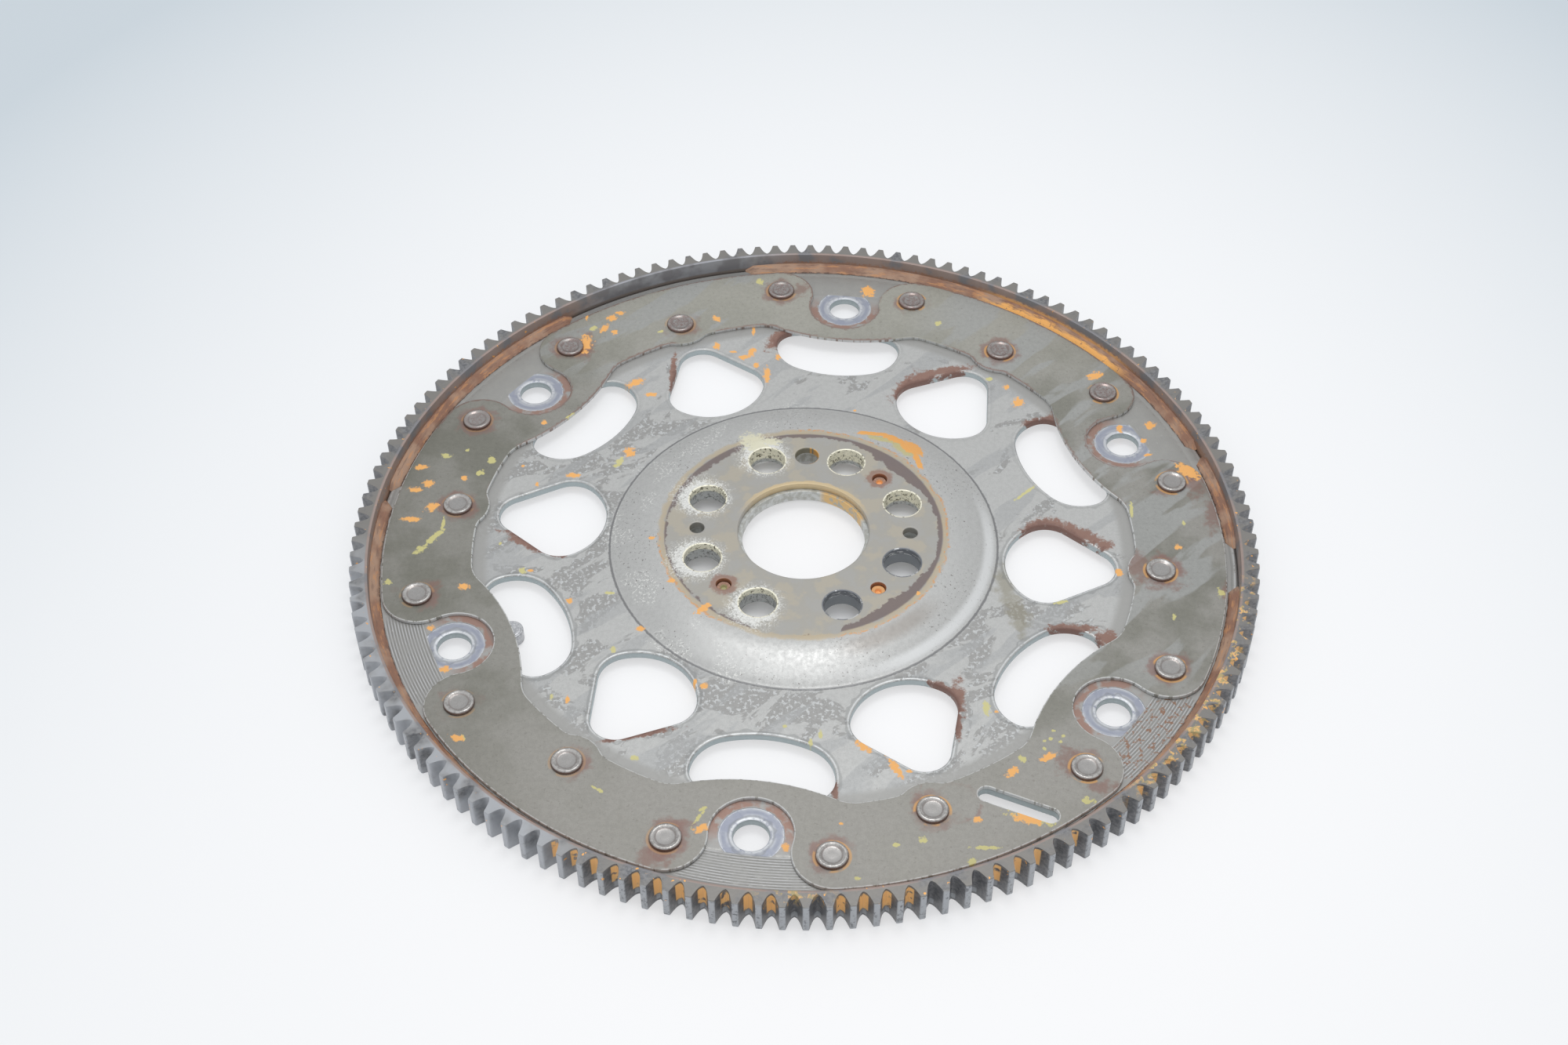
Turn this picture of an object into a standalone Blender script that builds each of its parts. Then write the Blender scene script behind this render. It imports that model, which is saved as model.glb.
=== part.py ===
"""Flexplate with ring gear: a thin pressed disc between a crankshaft flange and a torque converter.

Metres, +Z up. The Z axis is the axis of rotation, and Z = 0 is the plane of the ring gear's lower
face, on which the part lies. Angles are degrees, anticlockwise from +X seen from above. A circle
is the radius that holes or rivets are centred on.
"""

import math

import bmesh
import bpy

MM = 0.001

# Clearances
SEAT_GAP = 0.3 * MM          # between pieces that touch
CUT_REACH = 2.0 * MM         # how far a cutter runs past what it cuts
MERGE = 0.00001              # welding distance

# Facets
ROUND_STEPS = 72             # facets of the large circles
HOLE_STEPS = 20              # facets of the bolt holes
SMALL_STEPS = 12             # facets of rivets and small holes
ARC_STEP = 9.0               # degrees between points on small arcs
WIDE_ARC_STEP = 4.0          # degrees between points on arcs about the axis

# Hub bolt pattern
HUB_CIRCLE = 35.4 * MM
CRANK_HOLES = 8
CRANK_PHASE = 22.5
CRANK_HOLE_RADIUS = 6.1 * MM
DOWEL_ANGLES = (0.0, 180.0)
DOWEL_RADIUS = 2.45 * MM
INDEX_HOLE_ANGLE = 90.0
INDEX_HOLE_RADIUS = 3.95 * MM

# Disc: a flat hub, a pressed shoulder that falls to the web, and the web out to the gear
DISC_THICKNESS = 2.5 * MM
DISC_TOP = 5.3 * MM              # height of the flat web's upper face
BORE_WALL = 7.5 * MM             # between the bore and the crank bolt holes
HUB_EDGE = 5.3 * MM              # flat outside the crank bolt holes
DISH_WIDTH = 17.7 * MM
DISH_RISE = 4.8 * MM
DISH_STEPS = 5
WEB_WIDTH = 45.3 * MM            # from the shoulder's foot to the reinforcing ring
BORE_RADIUS = HUB_CIRCLE - CRANK_HOLE_RADIUS - BORE_WALL
HUB_FLAT_RADIUS = HUB_CIRCLE + CRANK_HOLE_RADIUS + HUB_EDGE
DISH_OUTER_RADIUS = HUB_FLAT_RADIUS + DISH_WIDTH

# Hub plate under the disc
HUB_PLATE_EDGE = 2.0 * MM        # outside the crank bolt holes
HUB_PLATE_LIP = 1.3 * MM         # how far it shows inside the disc's bore
HUB_PLATE_THICKNESS = 3.9 * MM
HUB_PLATE_RADIUS = HUB_CIRCLE + CRANK_HOLE_RADIUS + HUB_PLATE_EDGE
HUB_PLATE_BORE = BORE_RADIUS - HUB_PLATE_LIP

# Hub pins, which hold the hub plate to the disc and end inside its lower face
HUB_PIN_ANGLES = (45.0, 225.0, 315.0)
HUB_PIN_RADIUS = 2.15 * MM
HUB_PIN_SINK = 1.3 * MM
HUB_PIN_CUP_RADIUS = 1.3 * MM
HUB_PIN_CUP_DEPTH = 0.8 * MM

# Reinforcing ring
RING_THICKNESS = 0.9 * MM
RING_WIDTH = 29.7 * MM
CUTOUT_RADIUS = 12.65 * MM       # about each converter hole
CUTOUT_SHOULDER = 12.65 * MM     # rounded ends beside each cut-out
LOBE_REACH = 8.5 * MM            # how far the wide lobes stand in from the ring
LOBE_ARC = 72.3 * MM
LOBE_FILLET = 12.0 * MM
EAR_RADIUS = 10.7 * MM           # small lobes about the single rivets
EAR_FILLET = 6.0 * MM
RING_INNER_RADIUS = DISH_OUTER_RADIUS + WEB_WIDTH
RING_OUTER_RADIUS = RING_INNER_RADIUS + RING_WIDTH
LOBE_TIP = RING_INNER_RADIUS - LOBE_REACH

# Ring gear
TEETH = 139
WELD_LEDGE = 3.8 * MM            # between the reinforcing ring and the gear's bore
RIM_WALL = 1.35 * MM             # between the gear's bore and the tooth roots
TOOTH_DEPTH = 4.55 * MM
TIP_HALF_WIDTH = 0.93 * MM
ROOT_HALF_GAP = 0.92 * MM        # half of the gullet where the root curve starts
ROOT_CURVE = 0.45 * MM           # height of the rounded gullet floor
GEAR_HEIGHT = 11.8 * MM
TOOTH_PHASE = 0.25               # angle of one tooth
GEAR_INNER_RADIUS = RING_OUTER_RADIUS + WELD_LEDGE
ROOT_RADIUS = GEAR_INNER_RADIUS + RIM_WALL
TIP_RADIUS = ROOT_RADIUS + TOOTH_DEPTH

# Converter bolt holes, each in a shallow round pad
CONVERTER_HOLES = 6
CONVERTER_INSET = 19.0 * MM      # in from the reinforcing ring's outer edge
CONVERTER_PHASE = 24.6
CONVERTER_HOLE_RADIUS = 5.4 * MM
CONVERTER_CHAMFER = 0.7 * MM
PAD_RADIUS = 9.8 * MM
PAD_SINK = 0.15 * MM
CONVERTER_CIRCLE = RING_OUTER_RADIUS - CONVERTER_INSET

# Kidney windows, inboard of the converter holes
KIDNEY_INSET = 11.6 * MM         # in from the ring to where the window is widest
KIDNEY_HALF_WIDTH = 22.2 * MM
KIDNEY_OUTER_CORNER = 7.2 * MM
KIDNEY_INNER_CORNER = 13.3 * MM
KIDNEY_FLOOR_ARC = 39.8 * MM
KIDNEY_SHOULDER = RING_INNER_RADIUS - KIDNEY_INSET

# Rounded triangular windows, between the converter holes
TRIANGLE_OFFSET = 16.2 * MM      # out from the shoulder's foot to where the window is widest
TRIANGLE_HALF_WIDTH = 17.35 * MM
TRIANGLE_CORNER = 9.65 * MM
TRIANGLE_NOSE_RADIUS = 8.3 * MM
TRIANGLE_NOSE_INSET = 14.75 * MM     # in from the ring to the centre of the nose
TRIANGLE_FLOOR_ARC = 19.3 * MM
TRIANGLE_SHOULDER = DISH_OUTER_RADIUS + TRIANGLE_OFFSET
TRIANGLE_NOSE_CENTRE = RING_INNER_RADIUS - TRIANGLE_NOSE_INSET

# Slot through the ring and the disc
SLOT_INSET = 13.0 * MM           # in from the ring's outer edge
SLOT_CENTRE_ANGLE = 302.15
SLOT_DIRECTION = -21.3
SLOT_LENGTH = 25.2 * MM
SLOT_WIDTH = 5.4 * MM
SLOT_CENTRE_RADIUS = RING_OUTER_RADIUS - SLOT_INSET

# Outer rivets
PAIR_RIVET_INSET = 11.3 * MM     # in from the ring's outer edge
PAIR_RIVET_SPREAD = 11.04        # degrees either side of a converter hole
SINGLE_RIVET_INSET = 8.1 * MM    # out from the ring's inner edge
SLOT_RIVET_SHIFT = 3.8           # degrees that the rivet beside the slot is set aside
SLOT_RIVET_INDEX = 4             # which single rivet stands beside the slot
RIVET_SHANK_RADIUS = 2.4 * MM
RIVET_HEAD_RADIUS = 4.9 * MM
RIVET_FLAT_RADIUS = 3.0 * MM
RIVET_HEAD_HEIGHT = 0.95 * MM
RIVET_HEAD_EDGE = 0.25 * MM
RIVET_TAIL_RADIUS = 4.1 * MM
RIVET_TAIL_HEIGHT = 1.2 * MM
RIVET_TAIL_TAPER = 0.5 * MM
PAIR_RIVET_CIRCLE = RING_OUTER_RADIUS - PAIR_RIVET_INSET
SINGLE_RIVET_CIRCLE = RING_INNER_RADIUS + SINGLE_RIVET_INSET

# Balance slug under one lobe
SLUG_RADIUS = 3.8 * MM
SLUG_OVERLAP = 0.3 * MM          # how far its centre stands outside the lobe's edge
SLUG_ANGLE = 204.8
SLUG_LENGTH = 4.9 * MM
SLUG_EDGE = 0.3 * MM
SLUG_CIRCLE = LOBE_TIP + SLUG_OVERLAP

# Weld beads in the corner between the disc's upper face and the ring gear's bore
WELD_ARCS = ((0.3, 17.8), (19.5, 100.8), (129.0, 172.7), (174.7, 353.4))
WELD_TOE_GAP = 0.45 * MM         # between the reinforcing ring and the beads
WELD_HEIGHT = 2.6 * MM           # above the disc
WELD_BULGE = 0.45 * MM           # how far the bead stands out from a straight fillet

# Heights and radii that follow from the sizes above
DISC_RADIUS = GEAR_INNER_RADIUS * math.cos(math.pi / ROUND_STEPS) - SEAT_GAP
DISC_BOTTOM = DISC_TOP - DISC_THICKNESS
HUB_TOP = DISC_TOP + DISH_RISE
HUB_UNDERSIDE = HUB_TOP - DISC_THICKNESS
RING_BOTTOM = DISC_TOP + SEAT_GAP
RING_TOP = RING_BOTTOM + RING_THICKNESS
HUB_PLATE_TOP = HUB_UNDERSIDE - SEAT_GAP
HUB_PLATE_BOTTOM = HUB_PLATE_TOP - HUB_PLATE_THICKNESS
RIVET_HOLE_RADIUS = RIVET_SHANK_RADIUS + SEAT_GAP
HUB_PIN_HOLE_RADIUS = HUB_PIN_RADIUS + SEAT_GAP


def converter_angles():
    step = 360.0 / CONVERTER_HOLES
    return [CONVERTER_PHASE + step * index for index in range(CONVERTER_HOLES)]


def single_rivet_angles():
    """One rivet halfway between neighbouring converter holes, the one by the slot set aside."""
    half_step = 180.0 / CONVERTER_HOLES
    angles = [angle + half_step for angle in converter_angles()]
    angles[SLOT_RIVET_INDEX] -= SLOT_RIVET_SHIFT
    return angles


def outer_rivet_places():
    """Radius and angle of every outer rivet, in order round the disc."""
    places = []
    for hole, single in zip(converter_angles(), single_rivet_angles()):
        places.append((PAIR_RIVET_CIRCLE, hole - PAIR_RIVET_SPREAD))
        places.append((PAIR_RIVET_CIRCLE, hole + PAIR_RIVET_SPREAD))
        places.append((SINGLE_RIVET_CIRCLE, single))
    return places


def crank_angles():
    step = 360.0 / CRANK_HOLES
    return [CRANK_PHASE + step * index for index in range(CRANK_HOLES)]


def polar(radius, angle):
    turn = math.radians(angle)
    return (radius * math.cos(turn), radius * math.sin(turn))


def arc(centre, radius, start, end, step=ARC_STEP):
    """Points on an arc from start to end, both included."""
    count = max(1, math.ceil(abs(end - start) / step))
    points = []
    for index in range(count + 1):
        x, y = polar(radius, start + (end - start) * index / count)
        points.append((centre[0] + x, centre[1] + y))
    return points


def circle(centre, radius, steps):
    points = []
    for index in range(steps):
        x, y = polar(radius, 360.0 * index / steps)
        points.append((centre[0] + x, centre[1] + y))
    return points


def placed_on_radius(points, angle):
    """Turns points drawn about the +Y radius so that they lie about the radius at this angle."""
    turn = math.radians(angle - 90.0)
    cosine, sine = math.cos(turn), math.sin(turn)
    return [(x * cosine - y * sine, x * sine + y * cosine) for x, y in points]


def mirrored(points):
    """A half outline from the upper to the lower end of the +Y radius, and its mirror image."""
    return points + [(-x, y) for x, y in reversed(points[1:-1])]


def kidney_outline():
    """Window drawn about the +Y radius: an arc about the axis outside, a wide arc inside."""
    outer_centre = (KIDNEY_HALF_WIDTH - KIDNEY_OUTER_CORNER, KIDNEY_SHOULDER)
    inner_centre = (KIDNEY_HALF_WIDTH - KIDNEY_INNER_CORNER, KIDNEY_SHOULDER)
    floor_reach = KIDNEY_FLOOR_ARC - KIDNEY_INNER_CORNER
    floor_lift = math.sqrt(floor_reach ** 2 - inner_centre[0] ** 2)
    floor_centre = (0.0, KIDNEY_SHOULDER + floor_lift)
    roof_radius = math.hypot(*outer_centre) + KIDNEY_OUTER_CORNER
    roof_end = math.degrees(math.atan2(outer_centre[1], outer_centre[0]))
    floor_start = -math.degrees(math.atan2(floor_lift, inner_centre[0]))
    half = arc((0.0, 0.0), roof_radius, 90.0, roof_end, WIDE_ARC_STEP)
    half += arc(outer_centre, KIDNEY_OUTER_CORNER, roof_end, 0.0, 2.0 * ARC_STEP)[1:]
    half += arc(inner_centre, KIDNEY_INNER_CORNER, 0.0, floor_start, 1.5 * ARC_STEP)[1:]
    half += arc(floor_centre, KIDNEY_FLOOR_ARC, floor_start, -90.0)[1:]
    return mirrored(half)


def triangle_outline():
    """Window drawn about the +Y radius: a round nose outside, straight flanks, a curved floor."""
    nose = (0.0, TRIANGLE_NOSE_CENTRE)
    corner = (TRIANGLE_HALF_WIDTH - TRIANGLE_CORNER, TRIANGLE_SHOULDER)
    run = (corner[0] - nose[0], corner[1] - nose[1])
    heading = math.degrees(math.atan2(run[1], run[0]))
    lean = math.degrees(math.acos((TRIANGLE_NOSE_RADIUS - TRIANGLE_CORNER) / math.hypot(*run)))
    flank = heading + lean
    floor_reach = TRIANGLE_FLOOR_ARC - TRIANGLE_CORNER
    floor_lift = math.sqrt(floor_reach ** 2 - corner[0] ** 2)
    floor_start = -math.degrees(math.atan2(floor_lift, corner[0]))
    half = arc(nose, TRIANGLE_NOSE_RADIUS, 90.0, flank, 1.5 * ARC_STEP)
    half += arc(corner, TRIANGLE_CORNER, flank, floor_start, 1.5 * ARC_STEP)
    half += arc((0.0, TRIANGLE_SHOULDER + floor_lift), TRIANGLE_FLOOR_ARC, floor_start, -90.0)[1:]
    return mirrored(half)


def dip_outline(base_radius, centre_radius, arc_radius, fillet):
    """A round dip towards the axis in a circle about the axis, drawn about the +Y radius.

    The dip is an arc about a centre on the radius, and a fillet leads into it from the circle on
    either side.
    """
    fillet_circle = base_radius - fillet
    reach = arc_radius + fillet
    y = (fillet_circle ** 2 - reach ** 2 + centre_radius ** 2) / (2.0 * centre_radius)
    x = math.sqrt(fillet_circle ** 2 - y ** 2)
    outward = math.degrees(math.atan2(x, y))
    swing = math.degrees(math.atan2(x, centre_radius - y))
    points = arc((x, y), fillet, 90.0 - outward, 90.0 + swing)
    points += arc((0.0, centre_radius), arc_radius, swing - 90.0, -90.0 - swing)[1:-1]
    points += arc((-x, y), fillet, 90.0 - swing, 90.0 + outward)
    return points


def dipped_circle(base_radius, dips):
    """A circle about the axis with dips in it: each is an angle, a centre, an arc and a fillet."""
    points = []
    ordered = sorted(dips)
    for index, (angle, centre_radius, arc_radius, fillet) in enumerate(ordered):
        dip = placed_on_radius(dip_outline(base_radius, centre_radius, arc_radius, fillet), angle)
        following = ordered[(index + 1) % len(ordered)]
        next_dip = placed_on_radius(dip_outline(base_radius, *following[1:]), following[0])
        start = math.degrees(math.atan2(dip[-1][1], dip[-1][0]))
        end = math.degrees(math.atan2(next_dip[0][1], next_dip[0][0]))
        end += 360.0 * math.ceil((start - end) / 360.0)
        points += dip
        points += arc((0.0, 0.0), base_radius, start, end, WIDE_ARC_STEP)[1:-1]
    return points


def slot_outline():
    half_run = SLOT_LENGTH / 2.0 - SLOT_WIDTH / 2.0
    centre = polar(SLOT_CENTRE_RADIUS, SLOT_CENTRE_ANGLE)
    along = polar(half_run, SLOT_DIRECTION)
    far = (centre[0] + along[0], centre[1] + along[1])
    near = (centre[0] - along[0], centre[1] - along[1])
    points = arc(far, SLOT_WIDTH / 2.0, SLOT_DIRECTION - 90.0, SLOT_DIRECTION + 90.0, 2.0 * ARC_STEP)
    points += arc(near, SLOT_WIDTH / 2.0, SLOT_DIRECTION + 90.0, SLOT_DIRECTION + 270.0, 2.0 * ARC_STEP)
    return points


def tooth_outline():
    """The toothed outer edge of the ring gear, five points to a tooth."""
    curve_radius = ROOT_RADIUS + ROOT_CURVE
    pitch = 360.0 / TEETH
    tip_turn = math.degrees(TIP_HALF_WIDTH / TIP_RADIUS)
    root_turn = pitch / 2.0 - math.degrees(ROOT_HALF_GAP / curve_radius)
    points = []
    for index in range(TEETH):
        angle = TOOTH_PHASE + pitch * index
        points.append(polar(ROOT_RADIUS, angle - pitch / 2.0))
        points.append(polar(curve_radius, angle - root_turn))
        points.append(polar(TIP_RADIUS, angle - tip_turn))
        points.append(polar(TIP_RADIUS, angle + tip_turn))
        points.append(polar(curve_radius, angle + root_turn))
    return points


def clear_scene():
    for item in list(bpy.data.objects):
        bpy.data.objects.remove(item, do_unlink=True)


def new_collection(name):
    collection = bpy.data.collections.new(name)
    bpy.context.scene.collection.children.link(collection)
    return collection


def new_material(name, colour, roughness, metallic):
    material = bpy.data.materials.new(name)
    material.use_nodes = True
    shader = material.node_tree.nodes["Principled BSDF"]
    shader.inputs["Base Color"].default_value = (*colour, 1.0)
    shader.inputs["Roughness"].default_value = roughness
    shader.inputs["Metallic"].default_value = metallic
    material.diffuse_color = (*colour, 1.0)
    return material


def finish(item, material=None, smooth_angle=30.0):
    item.data.shade_smooth()
    item.data.set_sharp_from_angle(angle=math.radians(smooth_angle))
    if material:
        item.data.materials.clear()
        item.data.materials.append(material)
    return item


def evaluated_mesh(item, name):
    """Bakes an object's modifiers or curve into a mesh with its doubled points welded."""
    graph = bpy.context.evaluated_depsgraph_get()
    mesh = bpy.data.meshes.new_from_object(item.evaluated_get(graph))
    mesh.name = name
    work = bmesh.new()
    work.from_mesh(mesh)
    bmesh.ops.remove_doubles(work, verts=work.verts, dist=MERGE)
    bmesh.ops.recalc_face_normals(work, faces=work.faces)
    work.to_mesh(mesh)
    work.free()
    return mesh


def plate(name, collection, outlines, bottom, top):
    """A flat plate from closed outlines: the first is its edge, the others are holes in it."""
    curve = bpy.data.curves.new(name + "_outline", "CURVE")
    curve.dimensions = "2D"
    curve.fill_mode = "BOTH"
    curve.extrude = (top - bottom) / 2.0
    for outline in outlines:
        spline = curve.splines.new("POLY")
        spline.points.add(len(outline) - 1)
        for point, (x, y) in zip(spline.points, outline):
            point.co = (x, y, 0.0, 1.0)
        spline.use_cyclic_u = True
    drawn = bpy.data.objects.new(name + "_drawn", curve)
    collection.objects.link(drawn)
    drawn.location.z = (top + bottom) / 2.0
    bpy.context.view_layer.update()
    item = bpy.data.objects.new(name, evaluated_mesh(drawn, name))
    item.matrix_world = drawn.matrix_world
    collection.objects.link(item)
    bpy.data.objects.remove(drawn, do_unlink=True)
    return item


def profile_object(name, collection, profile):
    """An object that holds only the profile's edge, drawn in the XZ plane."""
    mesh = bpy.data.meshes.new(name)
    edges = [(index, index + 1) for index in range(len(profile) - 1)]
    mesh.from_pydata([(radius, 0.0, height) for radius, height in profile], edges, [])
    item = bpy.data.objects.new(name, mesh)
    collection.objects.link(item)
    return item


def add_screw(item, steps):
    screw = item.modifiers.new("Turn", "SCREW")
    screw.steps = steps
    screw.render_steps = steps
    screw.use_merge_vertices = True
    screw.merge_threshold = MERGE
    screw.use_normal_calculate = False


def turned(name, collection, profile, steps):
    """A solid turned about its own Z axis from a profile that runs from the top down."""
    item = profile_object(name, collection, profile)
    add_screw(item, steps)
    bpy.context.view_layer.update()
    mesh = evaluated_mesh(item, name)
    item.modifiers.clear()
    item.data = mesh
    return item


def cut(item, cutter):
    boolean = item.modifiers.new("Cut " + cutter.name, "BOOLEAN")
    boolean.operation = "DIFFERENCE"
    boolean.solver = "EXACT"
    boolean.object = cutter


def as_cutter(item):
    item.hide_render = True
    item.display_type = "WIRE"
    return item


def make_ring_gear(parts, steel):
    outlines = [tooth_outline(), circle((0.0, 0.0), GEAR_INNER_RADIUS, ROUND_STEPS)]
    gear = plate("ring_gear", parts, outlines, 0.0, GEAR_HEIGHT)
    return finish(gear, steel, 25.0)


def dish_profile():
    """Upper face of the disc from the bore out to the rim, radius and height."""
    profile = [(BORE_RADIUS, HUB_TOP)]
    width = DISH_OUTER_RADIUS - HUB_FLAT_RADIUS
    for index in range(DISH_STEPS + 1):
        share = index / DISH_STEPS
        height = DISC_TOP + DISH_RISE * math.sin(math.radians(90.0 * (1.0 - share)))
        profile.append((HUB_FLAT_RADIUS + width * share, height))
    profile.append((DISC_RADIUS, DISC_TOP))
    return profile


def disc_cutouts():
    """Closed outlines of everything that goes straight through the flat web."""
    outlines = []
    for angle in converter_angles():
        outlines.append(placed_on_radius(kidney_outline(), angle))
        outlines.append(placed_on_radius(triangle_outline(), angle + 180.0 / CONVERTER_HOLES))
    for radius, angle in outer_rivet_places():
        outlines.append(circle(polar(radius, angle), RIVET_HOLE_RADIUS, SMALL_STEPS))
    outlines.append(slot_outline())
    return outlines


def hub_holes():
    """Closed outlines of the holes that the disc and the hub plate share."""
    outlines = []
    for angle in crank_angles():
        outlines.append(circle(polar(HUB_CIRCLE, angle), CRANK_HOLE_RADIUS, HOLE_STEPS))
    for angle in DOWEL_ANGLES:
        outlines.append(circle(polar(HUB_CIRCLE, angle), DOWEL_RADIUS, SMALL_STEPS))
    index_place = polar(HUB_CIRCLE, INDEX_HOLE_ANGLE)
    outlines.append(circle(index_place, INDEX_HOLE_RADIUS, HOLE_STEPS))
    for angle in HUB_PIN_ANGLES:
        outlines.append(circle(polar(HUB_CIRCLE, angle), HUB_PIN_HOLE_RADIUS, SMALL_STEPS))
    return outlines


def make_cutter_set(name, cutters, outlines, bottom, top):
    """One cutter object made of separate prisms, one for each outline."""
    work = bmesh.new()
    for index, outline in enumerate(outlines):
        piece = plate(f"{name}_{index}", cutters, [outline], bottom, top)
        piece.data.transform(piece.matrix_world)
        work.from_mesh(piece.data)
        bpy.data.objects.remove(piece, do_unlink=True)
    mesh = bpy.data.meshes.new(name)
    work.to_mesh(mesh)
    work.free()
    item = bpy.data.objects.new(name, mesh)
    cutters.objects.link(item)
    return as_cutter(item)


def make_converter_cutter(cutters, index, angle):
    """Bolt hole with a chamfer, and the pad about it."""
    mouth = CONVERTER_HOLE_RADIUS + CONVERTER_CHAMFER
    pad = DISC_TOP - PAD_SINK
    profile = [
        (0.0, DISC_TOP + CUT_REACH),
        (PAD_RADIUS, DISC_TOP + CUT_REACH),
        (PAD_RADIUS, pad),
        (mouth, pad),
        (CONVERTER_HOLE_RADIUS, pad - CONVERTER_CHAMFER),
        (CONVERTER_HOLE_RADIUS, DISC_BOTTOM - CUT_REACH),
        (0.0, DISC_BOTTOM - CUT_REACH),
    ]
    cutter = turned(f"converter_cutter_{index}", cutters, profile, HOLE_STEPS)
    cutter.location = (*polar(CONVERTER_CIRCLE, angle), 0.0)
    return as_cutter(cutter)


def make_flex_disc(parts, cutters, steel):
    disc = profile_object("flex_disc", parts, dish_profile())
    add_screw(disc, ROUND_STEPS)
    sheet = disc.modifiers.new("Sheet", "SOLIDIFY")
    sheet.thickness = DISC_THICKNESS
    sheet.offset = -1.0
    sheet.use_even_offset = True
    bpy.context.view_layer.update()
    mesh = evaluated_mesh(disc, "flex_disc")
    disc.modifiers.clear()
    disc.data = mesh
    low = DISC_BOTTOM - CUT_REACH
    cut(disc, make_cutter_set("web_cutters", cutters, disc_cutouts(), low, DISC_TOP + CUT_REACH))
    low = HUB_UNDERSIDE - CUT_REACH
    cut(disc, make_cutter_set("hub_cutters", cutters, hub_holes(), low, HUB_TOP + CUT_REACH))
    for index, angle in enumerate(converter_angles()):
        cut(disc, make_converter_cutter(cutters, index, angle))
    bpy.context.view_layer.update()
    mesh = evaluated_mesh(disc, "flex_disc")
    disc.modifiers.clear()
    disc.data = mesh
    return finish(disc, steel)


def make_reinforcing_ring(parts, steel):
    cutouts = [
        (angle, CONVERTER_CIRCLE, CUTOUT_RADIUS, CUTOUT_SHOULDER) for angle in converter_angles()
    ]
    scallops = [
        (angle, LOBE_TIP + LOBE_ARC, LOBE_ARC, LOBE_FILLET) for angle in converter_angles()
    ]
    scallops += [
        (angle, SINGLE_RIVET_CIRCLE, EAR_RADIUS, EAR_FILLET) for angle in single_rivet_angles()
    ]
    outlines = [
        dipped_circle(RING_OUTER_RADIUS, cutouts),
        dipped_circle(RING_INNER_RADIUS, scallops),
        slot_outline(),
    ]
    for radius, angle in outer_rivet_places():
        outlines.append(circle(polar(radius, angle), RIVET_HOLE_RADIUS, SMALL_STEPS))
    ring = plate("reinforcing_ring", parts, outlines, RING_BOTTOM, RING_TOP)
    return finish(ring, steel)


def make_outer_rivets(parts, steel):
    head_bottom = RING_TOP + SEAT_GAP
    head_top = head_bottom + RIVET_HEAD_HEIGHT
    tail_top = DISC_BOTTOM - SEAT_GAP
    tail_bottom = tail_top - RIVET_TAIL_HEIGHT
    profile = [
        (0.0, head_top),
        (RIVET_FLAT_RADIUS, head_top),
        ((RIVET_FLAT_RADIUS + 2.0 * RIVET_HEAD_RADIUS) / 3.0, head_top - RIVET_HEAD_EDGE),
        (RIVET_HEAD_RADIUS, head_bottom + RIVET_HEAD_EDGE),
        (RIVET_HEAD_RADIUS, head_bottom),
        (RIVET_SHANK_RADIUS, head_bottom),
        (RIVET_SHANK_RADIUS, tail_top),
        (RIVET_TAIL_RADIUS, tail_top),
        (RIVET_TAIL_RADIUS - RIVET_TAIL_TAPER, tail_bottom),
        (0.0, tail_bottom),
    ]
    first = finish(turned("outer_rivet_01", parts, profile, SMALL_STEPS), steel, 50.0)
    for index, (radius, angle) in enumerate(outer_rivet_places()):
        rivet = first
        if index:
            rivet = bpy.data.objects.new(f"outer_rivet_{index + 1:02d}", first.data)
            parts.objects.link(rivet)
        rivet.location = (*polar(radius, angle), 0.0)
        rivet.rotation_euler.z = math.radians(angle)


def make_hub_plate(parts, steel):
    outlines = [
        circle((0.0, 0.0), HUB_PLATE_RADIUS, ROUND_STEPS),
        circle((0.0, 0.0), HUB_PLATE_BORE, ROUND_STEPS),
    ]
    outlines += hub_holes()
    hub_plate = plate("hub_plate", parts, outlines, HUB_PLATE_BOTTOM, HUB_PLATE_TOP)
    return finish(hub_plate, steel)


def make_hub_pins(parts, steel):
    top = HUB_TOP - HUB_PIN_SINK
    bottom = HUB_PLATE_BOTTOM + SEAT_GAP
    profile = [
        (0.0, top - HUB_PIN_CUP_DEPTH),
        (HUB_PIN_CUP_RADIUS, top),
        (HUB_PIN_RADIUS, top),
        (HUB_PIN_RADIUS, bottom),
        (0.0, bottom),
    ]
    for angle in HUB_PIN_ANGLES:
        pin = turned(f"hub_pin_{angle:.0f}", parts, profile, SMALL_STEPS)
        pin.location = (*polar(HUB_CIRCLE, angle), 0.0)
        finish(pin, steel)


def make_balance_slug(parts, steel):
    top = RING_BOTTOM - SEAT_GAP
    profile = [
        (0.0, top),
        (SLUG_RADIUS - SLUG_EDGE, top),
        (SLUG_RADIUS, top - SLUG_EDGE),
        (SLUG_RADIUS, top - SLUG_LENGTH),
        (0.0, top - SLUG_LENGTH),
    ]
    slug = turned("balance_slug", parts, profile, 2 * SMALL_STEPS)
    slug.location = (*polar(SLUG_CIRCLE, SLUG_ANGLE), 0.0)
    return finish(slug, steel)


def weld_profile():
    """Section of a bead, radius and height: a fillet that stands out a little."""
    inner = RING_OUTER_RADIUS + WELD_TOE_GAP
    bottom = DISC_TOP + SEAT_GAP
    top = DISC_TOP + WELD_HEIGHT
    toe_top = bottom + WELD_BULGE
    middle = ((inner + DISC_RADIUS) / 2.0 - WELD_BULGE, (toe_top + top) / 2.0 + WELD_BULGE)
    return [(inner, bottom), (inner, toe_top), middle, (DISC_RADIUS, top), (DISC_RADIUS, bottom)]


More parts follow.
